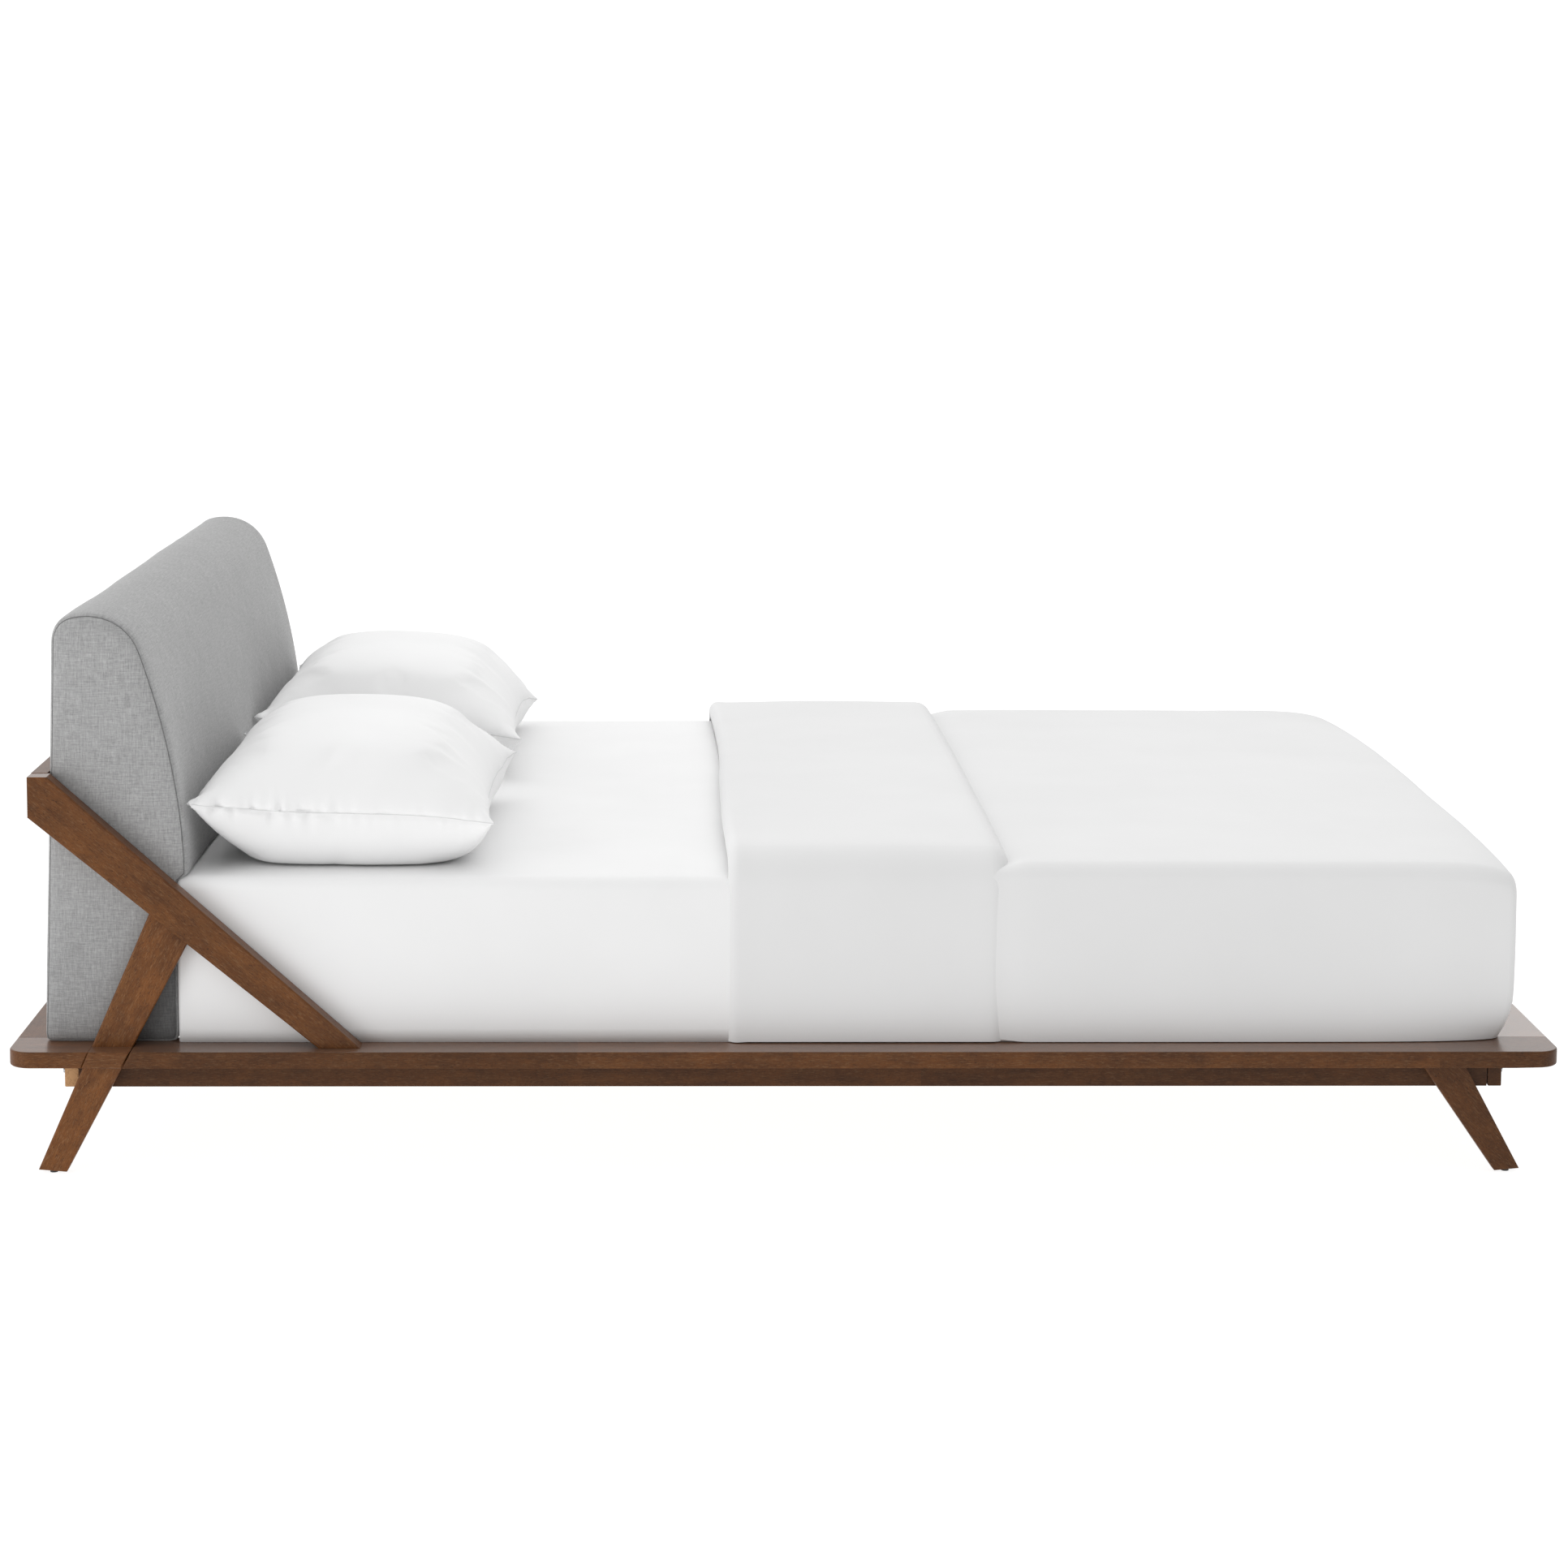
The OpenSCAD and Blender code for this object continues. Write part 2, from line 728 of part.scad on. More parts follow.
leveler(center_leg_x[0]);  // leveler_head
leveler(center_leg_x[1]);  // leveler_foot
headboard_back_panel();
headboard_ribs();
headboard_plate(core_z[1] - plate_t);  // headboard_top_plate
headboard_mid_rail();
headboard_plate(core_z[0]);  // headboard_bottom_plate
headboard_foam();
headboard_wrap();
headboard_end(-1);  // headboard_end_right
headboard_end(1);  // headboard_end_left
mattress();
fitted_sheet();
duvet();
pillow(pillow_y[0]);  // pillow_right
pillow(pillow_y[1]);  // pillow_left
leg_bolts();
leg_inserts();
frame_bolts();
barrel_nuts();
dowels();
slat_screws();
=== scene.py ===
import json
import math

import bmesh
import bpy
import numpy as np
from mathutils import Euler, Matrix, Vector, noise


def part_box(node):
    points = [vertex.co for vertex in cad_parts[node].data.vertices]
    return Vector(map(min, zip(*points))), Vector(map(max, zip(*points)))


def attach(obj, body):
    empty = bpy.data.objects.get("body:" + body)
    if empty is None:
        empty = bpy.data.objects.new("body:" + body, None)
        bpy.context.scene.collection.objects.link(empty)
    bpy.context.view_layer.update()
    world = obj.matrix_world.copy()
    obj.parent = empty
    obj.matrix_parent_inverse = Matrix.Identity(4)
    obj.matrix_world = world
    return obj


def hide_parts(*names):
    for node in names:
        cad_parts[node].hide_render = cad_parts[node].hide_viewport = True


# Platform bed with a padded headboard, a fitted sheet, a duvet with a folded-back cuff and two
# pillows. Metres, in the CAD model's own frame: +X runs from head to foot, the right side is -Y.

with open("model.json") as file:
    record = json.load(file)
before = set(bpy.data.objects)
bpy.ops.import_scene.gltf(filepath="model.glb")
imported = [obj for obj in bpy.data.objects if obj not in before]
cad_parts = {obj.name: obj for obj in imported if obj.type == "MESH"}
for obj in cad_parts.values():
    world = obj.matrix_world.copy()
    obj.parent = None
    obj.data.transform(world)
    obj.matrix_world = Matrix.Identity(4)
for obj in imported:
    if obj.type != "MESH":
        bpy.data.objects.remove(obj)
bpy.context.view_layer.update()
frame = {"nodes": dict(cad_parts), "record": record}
nodes = frame["nodes"]
node_slot = {row["node"]: row["material_slot"] for row in frame["record"]["subparts"]}
scene = bpy.context.scene
X, Y, Z = Vector((1, 0, 0)), Vector((0, 1, 0)), Vector((0, 0, 1))

# ---------- node trees ----------


class Tree:
    """A material's node tree, with short calls for the nodes that the materials use."""

    def __init__(self, name, roughness, specular=0.5, **shader):
        self.material = bpy.data.materials.new(name)
        self.material.use_nodes = True
        self.nodes = self.material.node_tree.nodes
        self.links = self.material.node_tree.links
        self.shader = self.nodes["Principled BSDF"]
        self.put("Roughness", roughness)
        self.put("Specular IOR Level", specular)
        for name, value in shader.items():
            self.put(name.replace("_", " ").title(), value)

    def put(self, socket, value, node=None):
        """Sets a socket's value, or links an output to it."""
        target = (node or self.shader).inputs[socket]
        if isinstance(value, bpy.types.NodeSocket):
            self.links.new(value, target)
        else:
            target.default_value = value

    def add(self, kind, out=0, settings=(), **sockets):
        node = self.nodes.new("ShaderNode" + kind)
        for name, value in dict(settings).items():
            setattr(node, name, value)
        for name, value in sockets.items():
            key = int(name[1:]) if name[0] == "_" else name.replace("_", " ")
            self.put(key, value, node)
        return node.outputs[out]

    def coords(self, kind="Object"):
        return self.add("TexCoord", kind)

    def mapped(self, vector, scale=(1, 1, 1), rotation=(0, 0, 0), location=(0, 0, 0)):
        return self.add("Mapping", _0=vector, Scale=scale, Rotation=rotation, Location=location)

    def noise(self, vector, scale, detail=3.0, rough=0.55, distortion=0.0):
        return self.add("TexNoise", Vector=vector, Scale=scale, Detail=detail, Roughness=rough,
                        Distortion=distortion)

    def math(self, operation, a, b=0.0):
        return self.add("Math", settings={"operation": operation}, _0=a, _1=b)

    def range(self, value, low, high, to_low=0.0, to_high=1.0):
        return self.add("MapRange", _0=value, _1=low, _2=high, _3=to_low, _4=to_high)

    def mix(self, share, a, b, blend="MIX"):
        node = self.nodes.new("ShaderNodeMix")
        node.data_type = "RGBA"
        node.blend_type = blend
        for socket, value in ((0, share), (6, a), (7, b)):
            self.put(socket, value, node)
        return node.outputs[2]

    def ramp(self, value, *stops):
        """A colour ramp through (place, colour) stops."""
        node = self.nodes.new("ShaderNodeValToRGB")
        ramp = node.color_ramp
        for place, _ in stops[2:]:
            ramp.elements.new(place)
        for element, (place, colour) in zip(ramp.elements, stops):
            element.position = place
            element.color = (*colour, 1)
        self.put(0, value, node)
        return node.outputs[0]

    def bump(self, height, strength, distance):
        self.put("Normal", self.add("Bump", Height=height, Strength=strength, Distance=distance))


def rgb(red, green, blue):
    """Linear colour from the 0 to 255 values of a display colour."""
    return tuple((c / 255 / 12.92) if c <= 10 else ((c / 255 + 0.055) / 1.055) ** 2.4
                 for c in (red, green, blue))


# ---------- wood ----------


# Linear colours of the stained wood, and of what shows in or on it
STAIN_DARK = (0.076, 0.0262, 0.0070)
STAIN_MIDDLE = (0.123, 0.0450, 0.0125)
STAIN_LIGHT = (0.176, 0.0720, 0.0220)
STAIN_WARM = (0.205, 0.072, 0.0165, 1)
STAIN_DULL = (0.056, 0.0205, 0.0075, 1)
FINE_LINE = (0.050, 0.018, 0.0065, 1)
PALE_FLECK = (0.245, 0.135, 0.066, 1)
PORE = (0.020, 0.008, 0.004, 1)
# Painted reflection: the pale colour that faces looking up are lightened towards
PAINTED_TOP_REFLECTION = (0.50, 0.35, 0.28, 1)


def grain_rotation(axis):
    """Euler angles that turn the grain's direction onto the texture's X."""
    return axis.rotation_difference(X).to_euler()


def walnut(name, axis, tone, seed, stave=0.0, gloss_and_painted_reflection=1.0):
    """Stained wood: reddish mottling, soft streaks and short dark pores along the grain, and a
    lacquer that is glossier on faces that look up, by gloss, with a painted reflection that
    lightens the colour of those faces. stave is the length of the pieces that a long board is
    joined from, or 0 for one piece."""
    t = Tree(name, 0.42, 0.16, coat_roughness=0.22)
    turned = t.mapped(t.coords(), rotation=grain_rotation(axis), location=(seed, seed * 1.7, seed))
    shade = tone
    if stave:
        along = t.add("SeparateXYZ", _0=turned)
        wobble = t.math("MULTIPLY", t.noise(t.mapped(turned, (1.3, 0, 0)), 1.0, 0.0), 2.0 * stave)
        number = t.math("FLOOR", t.math("DIVIDE", t.math("ADD", along, wobble), stave))
        chance = t.add("TexWhiteNoise", settings={"noise_dimensions": "1D"}, W=number)
        shade = t.range(chance, 0.0, 1.0, 0.82 * tone, 1.12 * tone)
        step = t.add("CombineXYZ", _0=number, _1=t.math("MULTIPLY", number, 3.7), _2=0.0)
        turned = t.add("VectorMath", settings={"operation": "ADD"}, _0=turned, _1=step)
    streaks = t.noise(t.mapped(turned, (1.2, 15, 15)), 4.0, 6.0, 0.66, 0.5)
    mottle = t.noise(t.mapped(turned, (1.0, 2.4, 2.4)), 13.0, 5.0, 0.66)
    blotch = t.noise(t.mapped(turned, (1.0, 1.6, 1.6)), 34.0, 4.0, 0.7)
    fine = t.noise(t.mapped(turned, (11, 170, 170)), 6.0, 3.0, 0.6)
    pores = t.range(t.noise(t.mapped(turned, (26, 150, 150)), 9.0, 1.0), 0.61, 0.71)
    base = t.ramp(streaks, (0.24, STAIN_DARK), (0.50, STAIN_MIDDLE), (0.78, STAIN_LIGHT))
    warm = t.mix(t.range(mottle, 0.40, 0.70, 0.0, 0.62), base, STAIN_WARM)
    dull = t.mix(t.range(blotch, 0.48, 0.72, 0.0, 0.50), warm, STAIN_DULL)
    lines = t.mix(t.range(fine, 0.35, 0.75, 0.0, 0.42), dull, FINE_LINE)
    flecks = t.range(t.noise(t.mapped(turned, (14, 95, 95)), 7.0, 3.0, 0.7), 0.52, 0.72, 0.0, 0.5)
    pale = t.mix(flecks, lines, PALE_FLECK)
    dark = t.mix(t.math("MULTIPLY", pores, 0.75), pale, PORE)
    stained = t.add("HueSaturation", Saturation=1.0, Value=shade, Color=dark)
    facing = t.add("SeparateXYZ", 2, _0=t.add("NewGeometry", "Normal"))
    # Painted reflection: faces that look up are lightened towards a pale colour, more with more gloss
    painted_reflection = t.range(facing, 0.90, 0.98, 0.0, 0.24 * gloss_and_painted_reflection)
    t.put("Base Color", t.mix(painted_reflection, stained, PAINTED_TOP_REFLECTION))
    t.put("Coat Weight", t.range(facing, 0.55, 0.95, 0.06, min(1.0, 0.06 + 0.94 * gloss_and_painted_reflection)))
    t.put("Roughness", t.range(facing, 0.55, 0.95, 0.44, 0.44 - 0.18 * gloss_and_painted_reflection))
    t.bump(t.math("SUBTRACT", t.math("MULTIPLY", fine, 0.35), pores), 0.2, 0.0006)
    return t.material


BARE_WOOD = (rgb(214, 180, 134), rgb(176, 132, 84))


def pale_wood(name, axis, light, dark, roughness=0.62):
    """Unfinished softwood with yearly rings seen as bands along the board."""
    t = Tree(name, roughness, 0.35)
    turned = t.mapped(t.coords(), rotation=grain_rotation(axis))
    bent = t.noise(t.mapped(turned, (1.2, 9, 9)), 3.0, 4.0, 0.6, 0.6)
    bands = t.math("FRACT", t.math("MULTIPLY", bent, 14.0))
    fine = t.noise(t.mapped(turned, (12, 260, 260)), 5.0, 2.0)
    base = t.ramp(bands, (0.0, light), (0.75, light), (1.0, dark))
    t.put("Base Color", t.mix(t.range(fine, 0.3, 0.8, 0.0, 0.35), base, (*dark, 1)))
    t.bump(fine, 0.25, 0.0005)
    return t.material


def plywood():
    t = Tree("plywood", 0.65, 0.35)
    place = t.coords()
    layers = t.add("TexWave", settings={"bands_direction": "DIAGONAL"}, Vector=place, Scale=55.0,
                   Distortion=1.5, Detail=2.0)
    face = t.noise(t.mapped(place, (3, 3, 30)), 5.0, 5.0, 0.6, 0.4)
    ply = t.ramp(face, (0.25, rgb(176, 134, 92)), (0.75, rgb(214, 178, 132)))
    t.put("Base Color", t.mix(t.range(layers, 0.7, 1.0, 0.0, 0.35), ply, (0.22, 0.12, 0.05, 1)))
    t.bump(face, 0.2, 0.0005)
    return t.material


# ---------- fabric, foam, metal and plastic ----------


def threads(t, place, across, along):
    """Slubs along each of the two thread directions: two noises, drawn out along u and v."""
    weft = t.noise(t.mapped(place, (along, across, across)), 1.0, 2.5, 0.6)
    warp = t.noise(t.mapped(place, (across, along, across)), 1.0, 2.5, 0.6)
    return weft, warp


# The head leg's middle line, X = LEG_MIDDLE + LEG_SLOPE * Z, the painted shadow of the leg in front of
# it, and how high the painted shade next to the platform reaches
LEG_SLOPE = 0.484
LEG_MIDDLE = -1.111
PAINTED_LEG_SHADOW = 0.62
PAINTED_SHADOW_HEIGHTS = (0.36, 0.46)
PAINTED_SHADE_REACH = 0.26


def grey_linen(name, tone, painted_low_tone=None):
    """Heather weave: light and dark yarns cross, with slubs a few millimetres long. painted_low_tone is
    the tone next to the platform, as painted shade that darkens the cloth towards it, with a
    painted shadow of the head leg in the corner between the leg and the mattress."""
    t = Tree(name, 0.92, 0.12, sheen_weight=0.30, sheen_roughness=0.45)
    place = t.coords("UV")
    weft, warp = threads(t, place, 900.0, 120.0)
    fat_weft, fat_warp = threads(t, place, 430.0, 34.0)
    heather = t.math("ADD", t.math("ADD", weft, warp), t.math("ADD", fat_weft, fat_warp))
    cloud = t.noise(place, 11.0, 3.0, 0.6)
    level = t.math("ADD", t.math("MULTIPLY", heather, 0.25), t.math("MULTIPLY", cloud, 0.04))
    colour = t.ramp(level, (0.38, rgb(136, 136, 136)), (0.52, rgb(163, 163, 163)),
                    (0.66, rgb(190, 190, 190)))
    # Painted shade: darker towards the platform, and a painted shadow in front of the head leg
    if painted_low_tone is not None:
        height = t.add("SeparateXYZ", 2, _0=t.coords())
        length = t.add("SeparateXYZ", 0, _0=t.coords())
        from_leg = t.math("SUBTRACT", length, t.math("MULTIPLY", height, LEG_SLOPE))
        painted_shadow_across = t.range(from_leg, LEG_MIDDLE, LEG_MIDDLE + 0.03)
        painted_shadow_fade = t.range(height, *PAINTED_SHADOW_HEIGHTS, 1.0, 0.0)
        # Painted shadow of the head leg, in front of it and low down
        corner = t.math("MULTIPLY", t.math("MULTIPLY", painted_shadow_across, painted_shadow_fade), PAINTED_LEG_SHADOW)
        tone = t.range(height, platform_high.z, platform_high.z + PAINTED_SHADE_REACH, painted_low_tone, tone)
        tone = t.math("MULTIPLY", tone, t.math("SUBTRACT", 1.0, corner))
    t.put("Base Color", t.add("HueSaturation", Saturation=1.0, Value=tone, Color=colour))
    t.put("Sheen Tint", (0.88, 0.88, 0.88, 1))
    t.bump(heather, 0.3, 0.0007)
    return t.material


COTTON_WEAVE = 1400.0


def white_cotton(name, colour, creases, crease_size, uv=False):
    """Plain white percale: a fine weave, and soft creases where it lies loose."""
    t = Tree(name, 0.88, 0.14, sheen_weight=0.12, sheen_roughness=0.5)
    place = t.coords("UV" if uv else "Object")
    fine = t.noise(place, COTTON_WEAVE, 1.0)
    slow = t.noise(place, 5.0, 3.0, 0.5)
    folds = t.noise(place, crease_size, 4.0, 0.5, 0.8)
    shade = tuple(c * 0.975 for c in colour)
    t.put("Base Color", t.mix(t.range(slow, 0.3, 0.7), (*shade, 1), (*colour, 1)))
    height = t.math("ADD", t.math("MULTIPLY", folds, creases), t.math("MULTIPLY", fine, 0.05))
    t.bump(height, 0.3, 0.003)
    return t.material


def ticking():
    """Damask mattress cover: faint stripes along the mattress and small quilted dimples."""
    t = Tree("mattress_ticking", 0.85, 0.2, sheen_weight=0.15)
    place = t.coords()
    stripes = t.add("TexWave", settings={"bands_direction": "Y"}, Vector=place, Scale=22.0)
    dimples = t.add("TexVoronoi", Vector=place, Scale=16.0)
    t.put("Base Color", t.ramp(stripes, (0.35, (0.60, 0.61, 0.62)), (0.65, (0.74, 0.74, 0.73))))
    t.bump(t.math("ADD", dimples, t.math("MULTIPLY", stripes, 0.2)), 0.4, 0.004)
    return t.material


def foam():
    t = Tree("foam", 0.95, 0.2)
    cells = t.add("TexVoronoi", Vector=t.coords(), Scale=420.0)
    t.put("Base Color", t.ramp(cells, (0.1, rgb(190, 172, 112)), (0.8, rgb(236, 222, 168))))
    t.bump(cells, 0.5, 0.001)
    return t.material


def metal(name, colour, roughness):
    """Plated metal with fine drawing marks and slightly uneven polish."""
    t = Tree(name, roughness, 0.5, metallic=1.0)
    place = t.coords()
    marks = t.noise(t.mapped(place, (40, 40, 900)), 3.0, 3.0)
    cloud = t.noise(place, 60.0, 2.0)
    dull = tuple(0.78 * c for c in colour)
    t.put("Base Color", t.mix(t.range(cloud, 0.35, 0.65), (*dull, 1), (*colour, 1)))
    t.put("Roughness", t.range(marks, 0.3, 0.7, roughness * 0.75, roughness * 1.3))
    t.bump(marks, 0.12, 0.0002)
    return t.material


def black_plastic():
    t = Tree("black_plastic", 0.5, 0.45)
    grain = t.noise(t.coords(), 2600.0, 2.0)
    scuffs = t.noise(t.coords(), 70.0, 4.0, 0.65)
    t.put("Base Color", t.ramp(scuffs, (0.3, (0.012, 0.012, 0.012)), (0.8, (0.045, 0.044, 0.042))))
    t.put("Roughness", t.range(scuffs, 0.3, 0.7, 0.42, 0.6))
    t.bump(grain, 0.3, 0.0003)
    return t.material


# ---------- meshes ----------


def new_object(name, mesh):
    obj = bpy.data.objects.new(name, mesh)
    scene.collection.objects.link(obj)
    return obj


def mesh_from(name, points, faces, uvs=None):
    """A smooth mesh; uvs gives one pair for each point."""
    mesh = bpy.data.meshes.new(name)
    mesh.from_pydata([tuple(p) for p in points], [], [tuple(f) for f in faces])
    if uvs is not None:
        layer = mesh.uv_layers.new(name="cloth")
        corner = np.zeros(len(mesh.loops), int)
        mesh.loops.foreach_get("vertex_index", corner)
        layer.data.foreach_set("uv", np.asarray(uvs, float)[corner].ravel())
    mesh.shade_smooth()
    return mesh


def grid_faces(rows, columns, close_rows=False, close_columns=False):
    """Quads between neighbouring points of a grid that is stored row by row."""
    faces = []
    for i in range(rows if close_rows else rows - 1):
        for j in range(columns if close_columns else columns - 1):
            ni, nj = (i + 1) % rows, (j + 1) % columns
            faces.append((i * columns + j, ni * columns + j, ni * columns + nj, i * columns + nj))
    return faces


def ring_tube(name, path, radius, sides):
    """Round tube along a closed path of points."""
    path = np.asarray(path, float)
    ahead = np.roll(path, -1, 0) - np.roll(path, 1, 0)
    ahead /= np.linalg.norm(ahead, axis=1)[:, None]
    aside = np.cross(ahead, (0, 1, 0.001))
    aside /= np.linalg.norm(aside, axis=1)[:, None]
    above = np.cross(ahead, aside)
    turn = np.linspace(0, 2 * math.pi, sides, endpoint=False)
    ring = np.cos(turn)[None, :, None] * aside[:, None] + np.sin(turn)[None, :, None] * above[:, None]
    points = (path[:, None] + radius * ring).reshape(-1, 3)
    faces = grid_faces(len(path), sides, close_rows=True, close_columns=True)
    uvs = np.stack([points[:, 0] + points[:, 2], points[:, 1]], 1)
    return new_object(name, mesh_from(name, points, faces, uvs))


def finished(obj, material, body="bed", replaced=()):
    """Gives a piece its material, parents it to its body, and hides the CAD nodes that it replaces."""
    obj.data.materials.clear()
    obj.data.materials.append(material)
    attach(obj, body)
    if replaced:
        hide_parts(*replaced)


def add_modifier(obj, kind, **settings):
    modifier = obj.modifiers.new(kind.lower(), kind)
    for name, value in settings.items():
        setattr(modifier, name, value)
    return modifier


def ease(t):
    """Smooth step from 0 to 1."""
    t = np.clip(t, 0, 1)
    return t * t * (3 - 2 * t)


def ripples(points, size, seed):
    """Smooth noise from -1 to 1 at each point, for shapes about that size."""
    return np.array([noise.noise(Vector(p) / size + Vector((seed, 3 * seed, seed)))
                     for p in points])


# ---------- wooden parts with eased edges ----------

platform_low = Vector(map(min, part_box("side_board_right")[0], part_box("head_corner_board_right")[0]))
platform_high = Vector((-platform_low.x, -platform_low.y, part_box("side_board_right")[1].z))
PLATFORM_CORNER = 0.036
PLAN_TOLERANCE = 0.0004
LONG_EASE = 0.0028
SHORT_EASE = 0.0006


def on_platform_edge(point):
    """Whether a point is on the platform's outline in plan, a rectangle with round corners."""
    over = Vector((abs(point.x) - platform_high.x + PLATFORM_CORNER,
                   abs(point.y) - platform_high.y + PLATFORM_CORNER))
    if over.x > 0 and over.y > 0:
        return abs(over.length - PLATFORM_CORNER) < PLAN_TOLERANCE
    return max(over) > PLATFORM_CORNER - PLAN_TOLERANCE


def long_axis(mesh):
    """Direction in which a board is longest, snapped to X, Y or Z where it is close to it."""
    points = np.unique(np.round([v.co for v in mesh.vertices], 5), axis=0)
    axis = Vector(np.linalg.svd(points - points.mean(0), full_matrices=False)[2][0])
    for straight in (X, Y, Z):
        if abs(axis.dot(straight)) > 0.985:
            return straight
    return axis if axis.x > 0 else -axis


def eased_board(node, material, axis, long_edge):
    """Copy of a CAD board whose long edges are rounded and whose joints keep a hairline."""
    mesh = nodes[node].data.copy()
    bm = bmesh.new()
    bm.from_mesh(mesh)
    bmesh.ops.remove_doubles(bm, verts=bm.verts, dist=1e-5)
    bmesh.ops.dissolve_limit(bm, angle_limit=math.radians(0.5), verts=bm.verts, edges=bm.edges)
    weight = bm.edges.layers.float.new("bevel_weight_edge")
    for edge in bm.edges:
        if len(edge.link_faces) != 2 or edge.calc_face_angle(0) < math.radians(35):
            continue
        edge[weight] = 1.0 if long_edge(edge, axis) else SHORT_EASE / LONG_EASE
    bm.to_mesh(mesh)
    bm.free()
    mesh.name = node + "_finished"
    obj = new_object(mesh.name, mesh)
    mesh.shade_smooth()
    add_modifier(obj, "BEVEL", width=LONG_EASE, segments=3, limit_method="WEIGHT",
                 use_clamp_overlap=False)
    add_modifier(obj, "WEIGHTED_NORMAL", weight=80, keep_sharp=True)
    finished(obj, material, replaced=[node])


def along_grain(edge, axis):
    """Whether an edge is a long one that runs along the board."""
    run = edge.verts[1].co - edge.verts[0].co
    return abs(run.normalized().dot(axis)) > 0.97 and run.length > 0.02


def outer_edge(edge, axis):
    """Whether an edge is on the platform's outline, whichever way the board's grain runs."""
    return all(on_platform_edge(v.co) for v in edge.verts)


def make_platform():
    for side, seed in (("right", 1.0), ("left", 5.3)):
        board = walnut(f"walnut_side_board_{side}", X, 0.78, seed, stave=0.62, gloss_and_painted_reflection=0.55)
        eased_board(f"side_board_{side}", board, X, outer_edge)
        corner = walnut(f"walnut_corner_board_{side}", X, 1.0, seed + 2, gloss_and_painted_reflection=0.35)
        eased_board(f"head_corner_board_{side}", corner, X, outer_edge)
        eased_board(f"leg_filler_{side}", corner, X, outer_edge)
        rail = walnut(f"walnut_side_rail_{side}", X, 0.58, seed + 4, stave=0.83)
        eased_board(f"side_rail_{side}", rail, X, along_grain)
    for end, seed, gloss_and_painted_reflection in (("head", 2.2, 0.12), ("foot", 7.9, 1.0)):
        board = walnut(f"walnut_{end}_end_board", Y, 0.9, seed, stave=0.55, gloss_and_painted_reflection=gloss_and_painted_reflection)
        eased_board(f"{end}_end_board", board, Y, outer_edge)
    foot = walnut("walnut_foot_cross_rail", Y, 0.6, 3.1)
    eased_board("foot_cross_rail", foot, Y, along_grain)
    pale = pale_wood("head_cross_rail_wood", Y, rgb(206, 160, 112), rgb(168, 122, 78), 0.5)
    eased_board("head_cross_rail", pale, Y, along_grain)


def make_legs_and_braces():
    for side, seed in (("right", 0.4), ("left", 6.1)):
        for number, (part, tone) in enumerate((("head_leg", 1.22), ("foot_leg", 0.74),
                                               ("brace", 0.98))):
            node = f"{part}_{side}"
            axis = long_axis(nodes[node].data)
            wood = walnut(f"walnut_{node}", axis, tone, seed + 1.3 * number, gloss_and_painted_reflection=0.4)
            eased_board(node, wood, axis, along_grain)
    rail = walnut("walnut_back_rail", Y, 0.9, 4.4, gloss_and_painted_reflection=0.1)
    eased_board("back_rail", rail, Y, along_grain)


def make_slats_and_center():
    across, lengthways = (pale_wood(f"bare_wood_{name}", axis, *BARE_WOOD)
                          for name, axis in (("across", Y), ("lengthways", X)))
    upright = pale_wood("bare_wood_upright", Z, *BARE_WOOD)
    for node in nodes:
        if node.startswith("slat_") and node[5:].isdigit():
            eased_board(node, across, Y, along_grain)
    for node in ("center_rail", "slat_cleat_right", "slat_cleat_left"):
        eased_board(node, lengthways, X, along_grain)
    for node in ("center_leg_head", "center_leg_foot"):
        eased_board(node, upright, Z, along_grain)


# ---------- headboard ----------

HEAD_LEAN = 0.019
FRONT_STEP = 0.015
OUTLINE_STEP = 0.0085
WRAP_BULGE = 0.0035
PADDING_SUNK = 0.004
SEAM_ROUND = 0.026
SEAM_GROOVE = 0.0022
SEAM_THREAD = 0.0007
PANEL_PUFF = 0.0075
PANEL_ROUND = 0.034


def bezier(a, b, c, d, count):
    t = np.linspace(0, 1, count)[:, None]
    a, b, c, d = (np.array(p) for p in (a, b, c, d))
    return (1 - t) ** 3 * a + 3 * (1 - t) ** 2 * t * b + 3 * (1 - t) * t * t * c + t ** 3 * d


def spaced(points, step):
    """The same closed outline with its points a step apart."""
    ring = np.vstack([points, points[:1]])
    length = np.concatenate([[0], np.cumsum(np.linalg.norm(np.diff(ring, axis=0), axis=1))])
    count = int(round(length[-1] / step))
    place = np.linspace(0, length[-1], count, endpoint=False)
    return np.stack([np.interp(place, length, ring[:, k]) for k in (0, 1)], 1)


